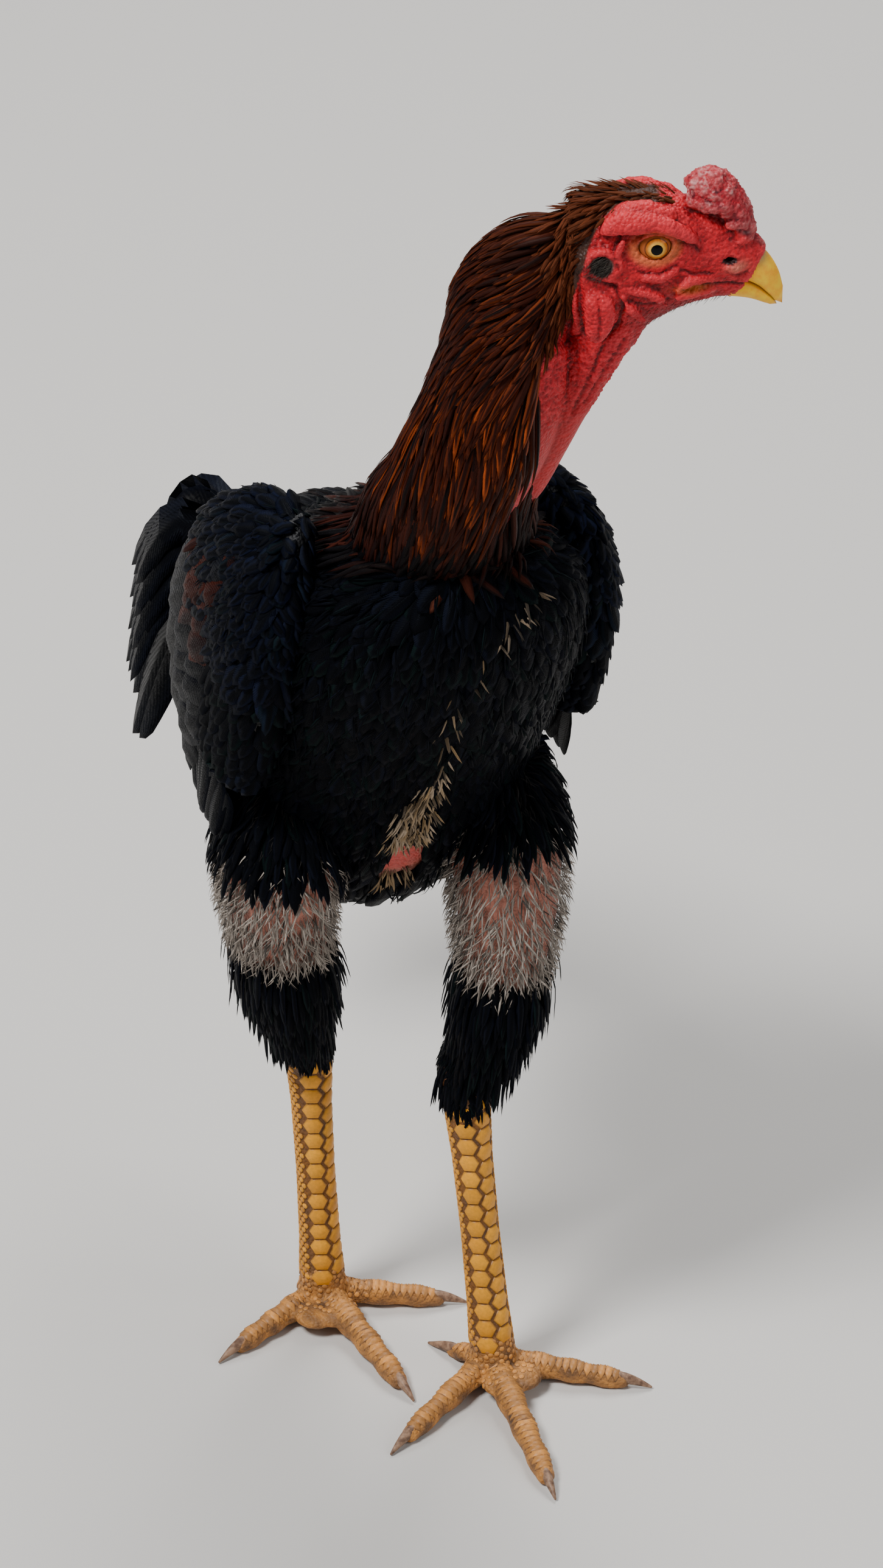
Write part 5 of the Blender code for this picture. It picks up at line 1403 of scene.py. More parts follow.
CONTOUR = ((0, 0.3), (0.22, 0.6), (0.45, 0.88), (0.66, 1), (0.82, 0.93), (0.93, 0.66), (1, 0))
LANCE = ((0, 0.4), (0.15, 0.8), (0.32, 1), (0.5, 0.98), (0.66, 0.88), (0.8, 0.7), (0.92, 0.4), (1, 0))
QUILL = ((0, 0.3), (0.06, 0.55), (0.14, 0.8), (0.24, 0.93), (0.36, 1), (0.48, 1), (0.6, 0.98), (0.71, 0.94),
    (0.8, 0.86), (0.88, 0.73), (0.94, 0.56), (0.98, 0.32), (1, 0))
SOFT = ((0, 0.35), (0.25, 0.78), (0.5, 1), (0.72, 0.94), (0.88, 0.62), (1, 0))
WISP = ((0, 0.6), (0.4, 1), (0.75, 0.7), (1, 0))
TUFT = ((0, 0.5), (0.3, 1), (0.6, 0.85), (0.85, 0.5), (1, 0))
BRISTLE = ((0, 1), (0.4, 0.8), (0.75, 0.5), (1, 0))


def guide_from(name, parts):
    """A guide surface over some tubes, which are removed again."""
    obj = join(name, parts)
    guide = Guide(obj)
    bpy.data.objects.remove(obj)
    return guide


def wing_guide(side, depth):
    sections = drawn_in(wing_sections(side, False), depth)
    return guide_from("wing_guide",
        [shell("guide", sections, 36, 36, (at_side(WING_TOP, side), at_side(WING_TIP, side)))])


def black_tint(chance, green=0.2):
    """One of the blacks of the plumage, from plain black to a painted slate-blue sheen, some with a painted
    green sheen.
    """
    tint = mixed(SLATE_SHEEN_BLACK, BLACK, chance.uniform(0, 1))
    if chance.random() < green:
        tint = mixed(tint, GREEN_SHEEN_BLACK, 0.8)
    return tint


def build_under_plumage(settings):
    """Dark feathers close to the skin, so that nothing pale shows between the outer ones."""
    guide = Guide(bpy.data.objects["skin"])
    under = Plumage("under_plumage", SOFT, fray=0.2, camber=0.08, thickness=0.0002, seed=2)
    chance = under.chance
    draw = chance.uniform

    def spacing(place, normal):
        local = place - PLACE
        if local.z < 0.292 or local.z > 0.472 or near(place, KEEL_PATCH) > 0:
            return None
        return 0.0044

    for place, normal in guide.scatter(11, 160000, spacing):
        heading = Vector((draw(-0.1, 0.1), 0.5, -0.85))
        if covers(place, heading, 0.024, KEEL_PATCH) > 0.2:
            continue
        under.lay(guide, place, heading, draw(0.018, 0.024), draw(0.0065, 0.0085), 0.0006,
            draw(0.0016, 0.003), black_tint(chance), BLACK, bake_place("torso", place), lift=1, stray=0.2)
    sheen = feather_material("under_plumage", 0.5, 0, 0.2, 0.018, BLUE_GLOSS)
    under.build(sheen, "black_plumage")


def build_body_feathers(settings):
    """Soft feathers over the breast, flanks and back, pale and ragged round the bare keel."""
    guide = guide_from("torso_guide", [torso_tube(0.0016), neck_tube(0.003)])
    wings = [wing_guide(side, 0.004) for side, _ in SIDES]
    gap = settings.contour_spacing

    def spacing(place, normal):
        local = place - PLACE
        if local.z > 0.466 + 0.5 * max(local.x, 0) or local.y > 0.176:
            return None
        if any(wing.tree.ray_cast(place + normal * 0.003, normal, 0.05)[0] is not None for wing in wings):
            return None
        if near(place, KEEL_PATCH) > 0.34 or near(place + Vector((0, 0.006, -0.01)), KEEL_PATCH) > 0.45:
            return None
        return gap * (0.5 if breast_share(place) > 0.05 else 1)

    body = Plumage("body_feathers", SOFT, fray=0.22, camber=0.08, thickness=0.0002, seed=3)
    strip = Plumage("breast_strip", WISP, fray=0.35, camber=0.1, thickness=0.00016, seed=4)
    barbs = Plumage("body_barbs", WISP, fray=0.3, camber=0.1, thickness=0.00012, seed=5)
    chance = body.chance
    draw = chance.uniform
    for place, normal in guide.scatter(21, 200000, spacing):
        local = place - PLACE
        pale = breast_share(place)
        root = bake_place("torso", place)
        heading = Vector((draw(-0.08, 0.08), 0.55, -0.83))
        patch = max(near(place, mark) for mark in NECK_BASE_PATCHES)
        if pale > 0.05 and chance.random() < (0.25 + pale if local.z > 0.335 else 0.8):
            if covers(place, heading, 0.014, KEEL_PATCH) > 0.32:
                continue
            tint = mixed(varied(settings.strip_buff, chance, 0.35), varied(PALE_BUFF, chance, 0.2),
                chance.random())
            if chance.random() < 0.35:
                tint = mixed(tint, BLACK, 0.7)
            if local.z > 0.34:
                tint = mixed(tint, BLACK, draw(0.2, 0.8))
            for _ in range(1 if local.z > 0.34 else 3):
                start = place + jitter(chance, 0.002)
                strip.lay(guide, start, heading, draw(0.008, 0.015), draw(0.0007, 0.0015), 0.003,
                    draw(0.0018, 0.0046), tint, mixed(tint, BLACK, 0.25), root, stray=0.7)
            continue
        back = clamp((normal.z + 0.2) * 0.9)
        skirt = clamp((0.3 - local.z) / 0.04)
        tint = black_tint(chance)
        length = draw(0.023, 0.033) * (1 - 0.15 * back + 0.25 * skirt)
        width = draw(0.0062, 0.0105) * (1 - 0.2 * back)
        rise = draw(0.0002, 0.0016) + skirt * draw(0, 0.0035)
        heart = varied(BLACK, chance, 0.3)
        if patch > 0.2 and chance.random() < 0.6:
            heart = mixed(tint, varied(settings.hackle_orange, chance, 0.3), draw(0.1, 0.6))
            tint, length, width = mixed(heart, BLACK, 0.5), length * 0.55, width * 0.45
        if near(place, WHITE_SPOT) > 0.1:
            tint, heart, length, width = PALE_BUFF, PALE_BUFF, 0.012, 0.005
        if covers(place, heading, length, KEEL_PATCH) > 0.22:
            continue
        body.lay(guide, place, heading, length, width, 0.003, rise, tint, heart, root, lift=1.4, stray=0.22)
        if chance.random() < 0.5:
            start = place + jitter(chance, 0.003)
            barbs.lay(guide, start, heading, draw(0.01, 0.02), draw(0.0007, 0.0016), -0.0004,
                rise + draw(0.0006, 0.0022), black_tint(chance, 0.3), BLACK, root, lift=1.2, stray=0.5)
    sheen = feather_material("body_plumage", 0.4, 0, 0.25, 0.018, BLUE_GLOSS)
    pale_vane = feather_material("strip_plumage", 0.8, 0.05, 0.1, 0.1)
    for piece, vane in ((body, sheen), (barbs, sheen), (strip, pale_vane)):
        piece.build(vane, "black_plumage")


# How many degrees further forward the hackle reaches on the bird's left
HACKLE_LEFT_REACH = 14


def hackle_colours(level, chance, settings):
    """Edge and heart colours of a neck feather, from how high its tip hangs."""
    orange = math.exp(-(((level - 0.496) / 0.03) ** 2))
    black = 1 - clamp((level - 0.456) / 0.028)
    brown = clamp((level - 0.56) / 0.03)
    tint = mixed(MAHOGANY, settings.hackle_red, chance.uniform(0, 0.8))
    if chance.random() < 0.4 * orange:
        tint = mixed(settings.hackle_red, settings.hackle_orange, chance.uniform(0.2, 1))
    tint = mixed(tint, varied(settings.crown_brown, chance, 0.3), brown * chance.uniform(0.4, 1))
    tint = mixed(tint, BLACK, black * chance.uniform(0.7, 1))
    if chance.random() < 0.3 + 0.2 * brown:
        tint = mixed(tint, BLACK, 0.75)
    heart = mixed(BLACK, MAHOGANY, chance.uniform(0, 0.6) + 0.3 * brown)
    return varied(tint, chance, 0.2), heart


def build_hackle(settings):
    """Long narrow neck feathers in tiers from the nape out over the shoulders."""
    guide = guide_from("neck_guide", [neck_tube(0), torso_tube(0)])
    sections = [(tuple(front), tuple(back), half) for front, back, half in neck_sections(0)]
    tiers, count = settings.hackle_tiers, settings.hackle_count
    rows = spline([(*front, *back, half) for front, back, half in sections], tiers * 2 + 3)
    upper = Plumage("hackle_upper", LANCE, fray=0.14, camber=0.22, seed=6)
    lower = Plumage("hackle_lower", LANCE, fray=0.14, camber=0.22, seed=7)
    for tier in range(tiers):
        index = 2 * tier + 1
        height = tier / (tiers - 1)
        row, below, above = rows[index], rows[index - 1], rows[min(index + 1, len(rows) - 1)]
        middle = Vector((row[0:3] + row[3:6]) / 2)
        depth = Vector((row[0:3] - row[3:6]) / 2)
        down = Vector((below[0:3] + below[3:6] - above[0:3] - above[3:6]) / 2).normalized()
        across = depth.cross(down).normalized() * row[6]
        plumage = lower if tier < tiers // 2 else upper
        chance = plumage.chance
        draw = chance.uniform
        reach = np.interp(height, (0, 0.18, 0.34, 0.5, 0.7, 1), (176, 168, 154, 138, 124, 112))
        length = np.interp(height, (0, 0.2, 0.55, 0.8, 1), (0.058, 0.072, 0.066, 0.046, 0.026))
        width = np.interp(height, (0, 0.5, 1), (0.0052, 0.0042, 0.003))
        for number in range(count):
            share = 2 * (number + draw(0.1, 0.9)) / count - 1
            angle = math.pi + math.radians(reach + (0 if share > 0 else HACKLE_LEFT_REACH)) * share
            ahead = clamp((abs(share) - 0.45) / 0.3)
            short = 1 - 0.55 * ahead * clamp((0.32 - height) / 0.15)
            start = middle + depth * math.cos(angle) + across * math.sin(angle)
            start += down * draw(-0.003, 0.003)
            tint, heart = hackle_colours(start.z - length * 0.8, chance, settings)
            spread = abs(math.sin(angle)) * clamp((0.36 - height) / 0.16)
            if chance.random() < 1.1 * spread:
                tint, heart = mixed(tint, BLACK, 0.9), BLACK
            rise = np.interp(height, (0, 0.4, 1), (0.0036, 0.0024, 0.0016)) * draw(0.2, 1.2)
            reach_down = length * short * draw(0.85, 1.12)
            plumage.lay(guide, start, down, reach_down, width * draw(0.8, 1.15), 0.0068, rise, tint, heart,
                bake_place("neck", start), lift=1.7, stray=0.12)
    vane = feather_material("hackle_vane", 0.4, 0, 0.45, 0.07, COPPER_GLOSS)
    upper.build(vane, "hackle_plumage")
    lower.build(vane, "hackle_plumage")


def crown_reach(forward):
    """How far to each side the crown's feathers reach: narrow above the eyes and wide behind."""
    return 0.0062 + 0.75 * np.maximum(-0.012 - forward, 0)


def build_crown(settings):
    """Short brown feathers from behind the comb over the crown and down to the nape."""
    neck = neck_tube(0.004)
    guide = guide_from("crown_guide", [skull_tube(30, 36), neck])
    crown = Plumage("crown_feathers", TUFT, thickness=0.0002, fray=0.3, seed=9)
    chance = crown.chance
    draw = chance.uniform

    def spacing(place, normal):
        forward, side, up = one_in_head(place)
        side = abs(side)
        edge = 0.01 - 0.8 * max(side - 0.006, 0)
        if forward > edge or forward < -0.06 or side > crown_reach(forward):
            return None
        if up < np.interp(forward, *zip(*CROWN_LINE)):
            return None
        return 0.0015

    for place, normal in guide.scatter(31, 60000, spacing):
        forward, side, up = one_in_head(place)
        back = clamp((0.01 - forward) / 0.05)
        heading = -HEAD_AHEAD - UP * (0.25 + 1.1 * back) + HEAD_LEFT * math.copysign(0.15, side)
        tint = varied(settings.crown_brown, chance, 0.35)
        tint = mixed(tint, settings.hackle_red, draw(0, 0.5) + 0.4 * back)
        heart = mixed(tint, BLACK, draw(0.2, 0.6))
        length = draw(0.006, 0.009) + 0.008 * back
        raised = 0.003 * math.exp(-(((forward + 0.02) / 0.014) ** 2)) * max(normal.z, 0)
        crown.lay(guide, place, heading, length, draw(0.0016, 0.0026), 0.0012, draw(0.0012, 0.0032) + raised,
            tint, heart, bake_place("head", place), lift=1, stray=0.25)
    crown.build(feather_material("crown_vane", 0.6, 0, 0.2, 0.08, COPPER_GLOSS), "hackle_plumage")


def wing_point(rows, down, back, side):
    """A point on the outer face of the folded wing, as shares down it and back across it."""
    row = rows[min(max(round(down * 100), 0), 100)]
    middle = Vector(row[0:3]).lerp(Vector(row[3:6]), back)
    out = Vector((1, 0.25, 0)).normalized() * row[6] * math.sqrt(max(1 - (2 * back - 1) ** 2, 0))
    return at_side(middle + out, side)


# Rows of the folded wing from the lowest up: number, roots and tips as shares down and back, width, rise
WING_ROWS = (
    ("quill", 7, ((0.62, 0.74), (0.34, 0.1)), ((0.99, 0.95), (0.78, 0.12)), 0.0135, 0),
    ("quill", 13, ((0.16, 0.72), (0.46, 0.48)), ((0.5, 0.97), (1.02, 0.84)), 0.02, 0.0004),
    ("contour", 12, ((0.12, 0.68), (0.36, 0.34)), ((0.42, 0.84), (0.8, 0.64)), 0.019, 0.0013),
    ("contour", 12, ((0.08, 0.6), (0.26, 0.22)), ((0.3, 0.72), (0.62, 0.5)), 0.017, 0.0019),
    ("contour", 11, ((0.05, 0.52), (0.16, 0.12)), ((0.22, 0.64), (0.46, 0.38)), 0.015, 0.0024),
)


def build_wings(settings):
    """Folded wings: quills, three rows of long coverts and small scalloped coverts over the shoulder."""
    sheen = feather_material("wing_plumage", 0.4, 0, 0.25, 0.025, BLUE_GLOSS)
    for side, name in SIDES:
        guide = wing_guide(side, 0.0012)
        rows = spline([(*front, *rear, half) for front, rear, half in WING_SECTIONS], 101)
        quills = Plumage("wing_quills_" + name, QUILL, thickness=0.0004, fray=0.05, camber=0.12,
            seed=12 + side)
        coverts = Plumage("wing_coverts_" + name, CONTOUR, fray=0.08, camber=0.12, seed=15 + side)
        for kind, number, roots, tips, width, rise in WING_ROWS:
            plumage = quills if kind == "quill" else coverts
            chance = plumage.chance
            draw = chance.uniform
            for index in range(number):
                share = index / (number - 1)
                start = wing_point(rows, *(np.interp(share, (0, 1), ends) for ends in roots), side)
                tip = wing_point(rows, *(np.interp(share, (0, 1), ends) for ends in tips), side)
                # Edges from black to a painted slate sheen
                tint = mixed(SLATE_SHEEN_BLACK, BLACK, draw(0.3, 0.9))
                red = near(tip, WING_PATCH) if side < 0 else 0
                heart = varied(BLACK, chance, 0.3)
                if kind == "contour" and chance.random() < red * 2.2:
                    tint = mixed(BLACK, MAHOGANY, draw(0.4, 1))
                    heart = mixed(MAHOGANY, BLACK, draw(0.4, 0.9))
                plumage.lay(guide, start, tip - start, (tip - start).length * draw(0.96, 1.04),
                    width * draw(0.92, 1.06), 0.003, rise + 0.0006 * (index % 3), tint, heart,
                    bake_place("wing_" + name, start), stray=0.05)
        chance = coverts.chance
        draw = chance.uniform
        small = Plumage("wing_shoulder_" + name, SOFT, thickness=0.0002, fray=0.2, camber=0.08,
            seed=18 + side)
        barbs = Plumage("wing_barbs_" + name, WISP, thickness=0.00012, fray=0.3, camber=0.1, seed=27 + side)
        arm = guide_from("arm_guide", [arm_tube(side)])

        def spacing(place, normal):
            local = place - PLACE
            down = (0.452 - local.z) / 0.17
            back = (local.y + 0.035) / 0.12
            facing = normal.x * side > -0.25 or ground is arm
            if not facing or down > 0.36 - 0.28 * back or back > 0.85:
                return None
            return settings.covert_spacing

        for ground, seed, sink, low, high in ((guide, 41, 0.003, 0.0022, 0.0036),
                (arm, 47, 0.001, 0.003, 0.0048)):
            for place, normal in ground.scatter(seed + side, 30000, spacing):
                red = near(place, WING_PATCH) if side < 0 else 0
                # Painted blue sheen over the shoulder's small feathers
                tint = mixed(black_tint(chance), BLUE_SHEEN_BLACK, draw(0.2, 1))
                heart = varied(BLACK, chance, 0.3)
                if chance.random() < red * 1.5:
                    tint = mixed(BLACK, MAHOGANY, draw(0.4, 1.2))
                    heart = mixed(MAHOGANY, BLACK, draw(0.3, 0.9))
                heading = Vector((0, 0.62, -0.72))
                root = bake_place("wing_" + name, place)
                rise = draw(low, high)
                small.lay(ground, place, heading, draw(0.019, 0.029), draw(0.0055, 0.009), sink, rise, tint,
                    heart, root, lift=1.4 if ground is guide else 1, stray=0.18)
                if ground is arm or chance.random() < 0.5:
                    continue
                start = place + jitter(chance, 0.003)
                barbs.lay(ground, start, heading, draw(0.01, 0.018), draw(0.0006, 0.0012), 0,
                    rise + draw(0.0004, 0.001), black_tint(chance), BLACK, root, lift=1.2, stray=0.3)

        def wrist_spacing(place, normal):
            return 0.0024 if place.z > 0.405 and (normal.y < 0.3 or normal.z > 0.3) else None

        for place, normal in arm.scatter(53 + side, 30000, wrist_spacing):
            heading = Vector((draw(-0.4, 0.4), draw(-0.3, 0.7), -0.7))
            # Painted blue sheen on the wrist's feathers
            tint = mixed(black_tint(chance), BLUE_SHEEN_BLACK, draw(0, 1))
            small.lay(arm, place, heading, draw(0.009, 0.014), draw(0.0045, 0.007), -0.0006,
                draw(0.002, 0.0044), tint, varied(BLACK, chance, 0.3), bake_place("wing_" + name, place),
                lift=1, stray=0.5)
        for piece in (small, barbs, quills, coverts):
            piece.build(sheen, "black_plumage")


def build_saddle(settings):
    """Narrow feathers lying back over the rump to the tail."""
    guide = guide_from("torso_guide", [torso_tube(0)])
    saddle = Plumage("saddle_feathers", LANCE, fray=0.12, camber=0.2, seed=19)
    chance = saddle.chance
    draw = chance.uniform
    for _ in range(settings.saddle_count):
        share = draw(-1, 1)
        start = Vector((0.04 * share, draw(0.055, 0.125), 0.425 - 0.03 * abs(share))) + PLACE
        heading = Vector((0.22 * share, 1, -0.45))
        tint = mixed(BLACK, MAHOGANY, draw(0, 0.35))
        # Some with a painted slate sheen
        if chance.random() < 0.4:
            tint = mixed(SLATE_SHEEN_BLACK, BLACK, chance.random())
        saddle.lay(guide, start, heading, draw(0.04, 0.056), draw(0.0045, 0.0065), 0.005,
            draw(0.001, 0.0045), tint, varied(BLACK, chance, 0.3), bake_place("torso", start))
    saddle.build(feather_material("saddle_vane", 0.4, 0, 0.3, 0.03, BLUE_GLOSS), "black_plumage")


TAIL_ROOT = mm((162, 318))
TAIL_BENDS = mm(((206, 366), (204, 350), (197, 335), (189, 320), (179, 304)))
TAIL_TIPS = mm(((242, 262), (240, 236), (229, 218), (214, 210), (199, 214)))
TAIL_WIDTH = 0.029
TAIL_STEP = 0.003
TAIL_SWING = -0.02
SICKLES = mm({-1: ((236, 356), (230, 196), 10), 1: ((230, 352), (236, 226), 10)})


def bow(root, bend, tip):
    """Nine points along an arch from a root past a bend to a tip."""
    root, bend, tip = Vector(root) + PLACE, Vector(bend) + PLACE, Vector(tip) + PLACE
    return [root * (1 - t) ** 2 + bend * (2 * t * (1 - t)) + tip * t**2 for t in np.linspace(0, 1, 9)]


def build_tail(settings):
    """Drooping tail feathers on both sides, their coverts and two thin sickles."""
    quills = Plumage("tail_feathers", QUILL, thickness=0.0006, camber=0.2, fray=0.06, seed=22)
    coverts = Plumage("tail_coverts", CONTOUR, thickness=0.0004, camber=0.2, fray=0.1, seed=23)
    sickles = Plumage("sickles", QUILL, thickness=0.0006, camber=0.2, fray=0.08, seed=24)
    chance = quills.chance
    draw = chance.uniform
    for side in (-1, 1):
        slope = Vector((side, 0, 0.35)).normalized()
        for number in range(9):
            place = number / 2
            bend = [np.interp(place, range(5), [row[axis] for row in TAIL_BENDS]) for axis in range(2)]
            tip = [np.interp(place, range(5), [row[axis] for row in TAIL_TIPS]) for axis in range(2)]
            out = side * TAIL_STEP * (place + 1)
            start = (out * 0.7, TAIL_ROOT[0] + 0.002 * place, TAIL_ROOT[1] - 0.004 * place)
            middle = (out * 1.3 + TAIL_SWING * 0.4, *bend)
            end = (out * 1.7 + TAIL_SWING + draw(-0.002, 0.002), *tip)
            # Edges from black to a painted slate sheen
            tint = mixed(SLATE_SHEEN_BLACK, BLACK, draw(0.3, 0.8))
            quills.arch(bow(start, middle, end), slope, TAIL_WIDTH * draw(0.85, 0.98), tint, BLACK,
                bake_place("tail", Vector(start) + PLACE))
        bend, tip, width = SICKLES[side]
        start = (side * TAIL_STEP * 0.25, *TAIL_ROOT)
        end = (side * TAIL_STEP * 0.3 + TAIL_SWING * 1.6, *tip)
        middle = (side * 0.001 + TAIL_SWING * 0.4, *bend)
        # Sickles edged with a painted slate sheen
        sickles.arch(bow(start, middle, end), slope, width, SLATE_SHEEN_BLACK, BLACK,
            bake_place("tail", Vector(start) + PLACE))
        for number in range(12):
            layer, place = divmod(number, 4)
            out = side * (0.015 + 0.0016 * place + 0.0012 * layer)
            start = (out * 0.8, 0.16, 0.334 - 0.009 * place)
            middle = (out * 1.6 + TAIL_SWING * 0.3, 0.19 - 0.004 * layer, 0.352 - 0.013 * place)
            end = (out * 1.8 + TAIL_SWING * 0.6, 0.214 - 0.008 * layer - 0.004 * place, 0.296 - 0.014 * place)
            # Edges from black to a painted slate sheen
            tint = mixed(SLATE_SHEEN_BLACK, BLACK, draw(0.2, 0.8))
            coverts.arch(bow(start, middle, end), slope, 0.0165 * draw(0.85, 1.1), tint, BLACK,
                bake_place("tail", Vector(start) + PLACE))
    sheen = feather_material("tail_plumage", 0.34, 0, 0.25, 0.03, BLUE_GLOSS)
    for piece in (quills, coverts, sickles):
        piece.build(sheen, "black_plumage")


def build_thigh_down(settings):
    """Fluffy grey and buff down over the thighs, black and sleek from the knee to the hock."""
    downy = feather_material("down_plumage", 0.85, 0.04, 0.05, 0.08)
    sleek = feather_material("hock_plumage", 0.44, 0, 0.25, 0.025, BLUE_GLOSS)
    for side, name in SIDES:
        guide = guide_from("thigh_guide", [shell("guide", thigh_sections(name, 0.0026), 48, 32)])
        down = Plumage("thigh_down_" + name, WISP, thickness=0.00016, camber=0.08, fray=0.35, seed=31 + side)
        shin = Plumage("hock_feathers_" + name, SOFT, thickness=0.0002, camber=0.1, fray=0.2, seed=34 + side)
        chance = down.chance
        draw = chance.uniform
        _, _, front, _, hock = leg_frame(name)
        limb = (hock - Vector(THIGH_LINE[name][3][:3]) - PLACE).normalized()
        black_line = 0.222 if side < 0 else 0.216

        def spacing(place, normal):
            bare_back = 0.03 if normal.dot(front) < -0.45 else 0.004
            if place.z < hock.z + (bare_back if side > 0 else 0.004) or place.z > 0.335:
                return None
            return settings.down_spacing

        for place, normal in guide.scatter(51 + side, 120000, spacing):
            low = clamp((black_line + 0.006 - place.z) / 0.014)
            heading = Vector((draw(-0.2, 0.2), 0.22, -1))
            root = bake_place("thigh_" + name, place)
            if chance.random() < low:
                full = min(max((place.z - hock.z - 0.004) / 0.05, 0.1), 1)
                shin.lay(guide, place, heading, draw(0.012, 0.018), draw(0.0014, 0.0026), 0.0008,
                    draw(0.0006, 0.001 + 0.001 * full), black_tint(chance), BLACK, root, lift=1.1, stray=0.22)
                if chance.random() < 0.15 + 0.3 * full:
                    reach = min(draw(0.014, 0.028), max(place.z - hock.z + 0.008, 0.007))
                    away = draw(0.0008, 0.0012 + 0.0036 * full)
                    lean = limb * 0.45 - UP * 0.55 + jitter(chance, 0.08)
                    points = [place - normal * 0.001, place + normal * away * 0.7 + lean * reach * 0.35,
                        place + normal * away + lean * reach]
                    shin.arch(points, normal, draw(0.0022, 0.0038), black_tint(chance), BLACK, root)
                continue
            pink = math.exp(-(((place.z - 0.262) / 0.022) ** 2)) * max(normal.dot(front), 0)
            if chance.random() < 0.55 * pink:
                continue
            tint = mixed(varied(settings.down_grey, chance, 0.35), varied(PALE_DOWN, chance, 0.3),
                chance.random())
            if chance.random() < 0.12 or place.z > 0.29:
                tint = mixed(tint, BLACK, 0.75 if place.z < 0.29 else 0.97)
            down.lay(guide, place, heading, draw(0.007, 0.014), draw(0.0004, 0.001), 0.0026,
                draw(0.0002, 0.0044), tint, mixed(tint, BLACK, 0.1), root, lift=1.2, stray=0.75)
        skirt = Plumage("skirt_feathers_" + name, SOFT, thickness=0.0002, camber=0.1, fray=0.3,
            seed=37 + side)

        def skirt_spacing(place, normal):
            return 0.0025 if place.z > 0.29 else None

        for place, normal in guide.scatter(57 + side, 30000, skirt_spacing):
            heading = Vector((draw(-0.15, 0.15), 0.2, -1))
            skirt.lay(guide, place, heading, draw(0.016, 0.034), draw(0.0022, 0.0046), 0.001,
                draw(0.0025, 0.0052), black_tint(chance), BLACK, bake_place("thigh_" + name, place),
                stray=0.3)
        down.build(downy, "thigh_down")
        shin.build(sleek, "black_plumage")
        skirt.build(sleek, "black_plumage")


def build_bristles(settings):
    """Dark bristles over the ears, and sparse hairs on the face, chin and throat."""
    bristles = Plumage("face_bristles", BRISTLE, thickness=0.00012, camber=0, fray=0, seed=41)
    chance = bristles.chance
    draw = chance.uniform
    for side in (-1, 1):
        for _ in range(settings.ear_bristles):
            angle, radius = draw(0, TAU), 0.0047 * math.sqrt(chance.random())
            f = EAR_CENTRE[0] + radius * math.cos(angle)
            u = EAR_CENTRE[2] + radius * math.sin(angle)
            start = head_point(f, side * 0.0152, u)
            out = HEAD_LEFT * side
            lean = -HEAD_AHEAD * 0.9 - UP * 0.45 + HEAD_AHEAD * draw(-0.4, 0.4) + UP * draw(-0.4, 0.4)
            reach = draw(0.0028, 0.005)
            bend = start + (out * 0.8 + lean * 0.3) * reach * 0.5
            points = [start, bend, start + (out * 0.9 + lean) * reach]
            tint = mixed((0.02, 0.018, 0.016), (0.16, 0.13, 0.1), chance.random() ** 2)
            bristles.arch(points, out.cross(lean).normalized(), 0.00042, tint, None,
                bake_place("head", start))
    guide = guide_from("face_guide", [skull_tube(30, 36)])

    def spacing(place, normal):
        forward, side, up = one_in_head(place)
        if forward > 0.03 or forward < -0.026 or up > 0.004:
            return None
        if math.hypot(forward, up * 1.2) < 0.0115:
            return None
        return 0.0016 if up < -0.026 else 0.0042

    for place, normal in guide.scatter(43, 9000, spacing):
        lean = (-HEAD_AHEAD * 0.8 - UP * 0.5).normalized()
        reach = draw(0.0016, 0.0034)
        start = place - normal * 0.0004
        bend = start + (normal * 0.5 + lean * 0.6) * reach * 0.5
        points = [start, bend, start + (normal * 0.55 + lean) * reach]
        tint = mixed((0.02, 0.012, 0.01), (0.2, 0.1, 0.05), chance.random() ** 2)
        bristles.arch(points, normal.cross(lean).normalized(), 0.00026, tint, None, bake_place("head", start))
    bristles.build(feather_material("bristle_hair", 0.6, 0, 0, 0.4), "ear_bristle")


def eye_material(settings):
    """A dark pupil in a yellow iris with radial streaks, under a clear wet cornea."""
    shader = Shader("eye")
    off = shader.attribute("off_axis", "Fac")
    streaks = shader.noise(900, 3)
    iris = shader.blend(off.step(0.36, 0.58), settings.iris_yellow, (0.52, 0.14, 0.014))
    iris = shader.shade(iris, 0.5 + streaks * 0.9)
    colour = shader.blend((off + streaks * 0.02).step(0.325, 0.35), (0.002, 0.002, 0.002), iris)
    colour = shader.blend(off.step(0.6, 0.66), colour, (0.12, 0.03, 0.01))
    colour = shader.blend(off.step(0.66, 0.76), colour, (0.42, 0.11, 0.03))
    return shader.finish(Base_Color=colour, Roughness=0.45, Specular_IOR_Level=0, Coat_Weight=0.35,
        Coat_Roughness=0.03, Coat_IOR=1.38)


def build_eyes(settings):
    """An eyeball in each socket, which knows how far each point is from where it looks."""
    material = eye_material(settings)
    for side, name in SIDES:
        eye = blob("eyeball_" + name, head_matrix(0, side * EYE_SPREAD, 0), (EYE_RADIUS,) * 3, 96, 64)
        centre = np.array(head_point(0, side * EYE_SPREAD, 0))
        gaze = np.array((HEAD_LEFT * side + HEAD_AHEAD * 0.1 - UP * 0.02).normalized())
        out = (points_of(eye) - centre) / EYE_RADIUS
        keep_values(eye, "off_axis", np.arccos(np.clip(out @ gaze, -1, 1)))
        hand_in(eye, material, ["eye_" + name])


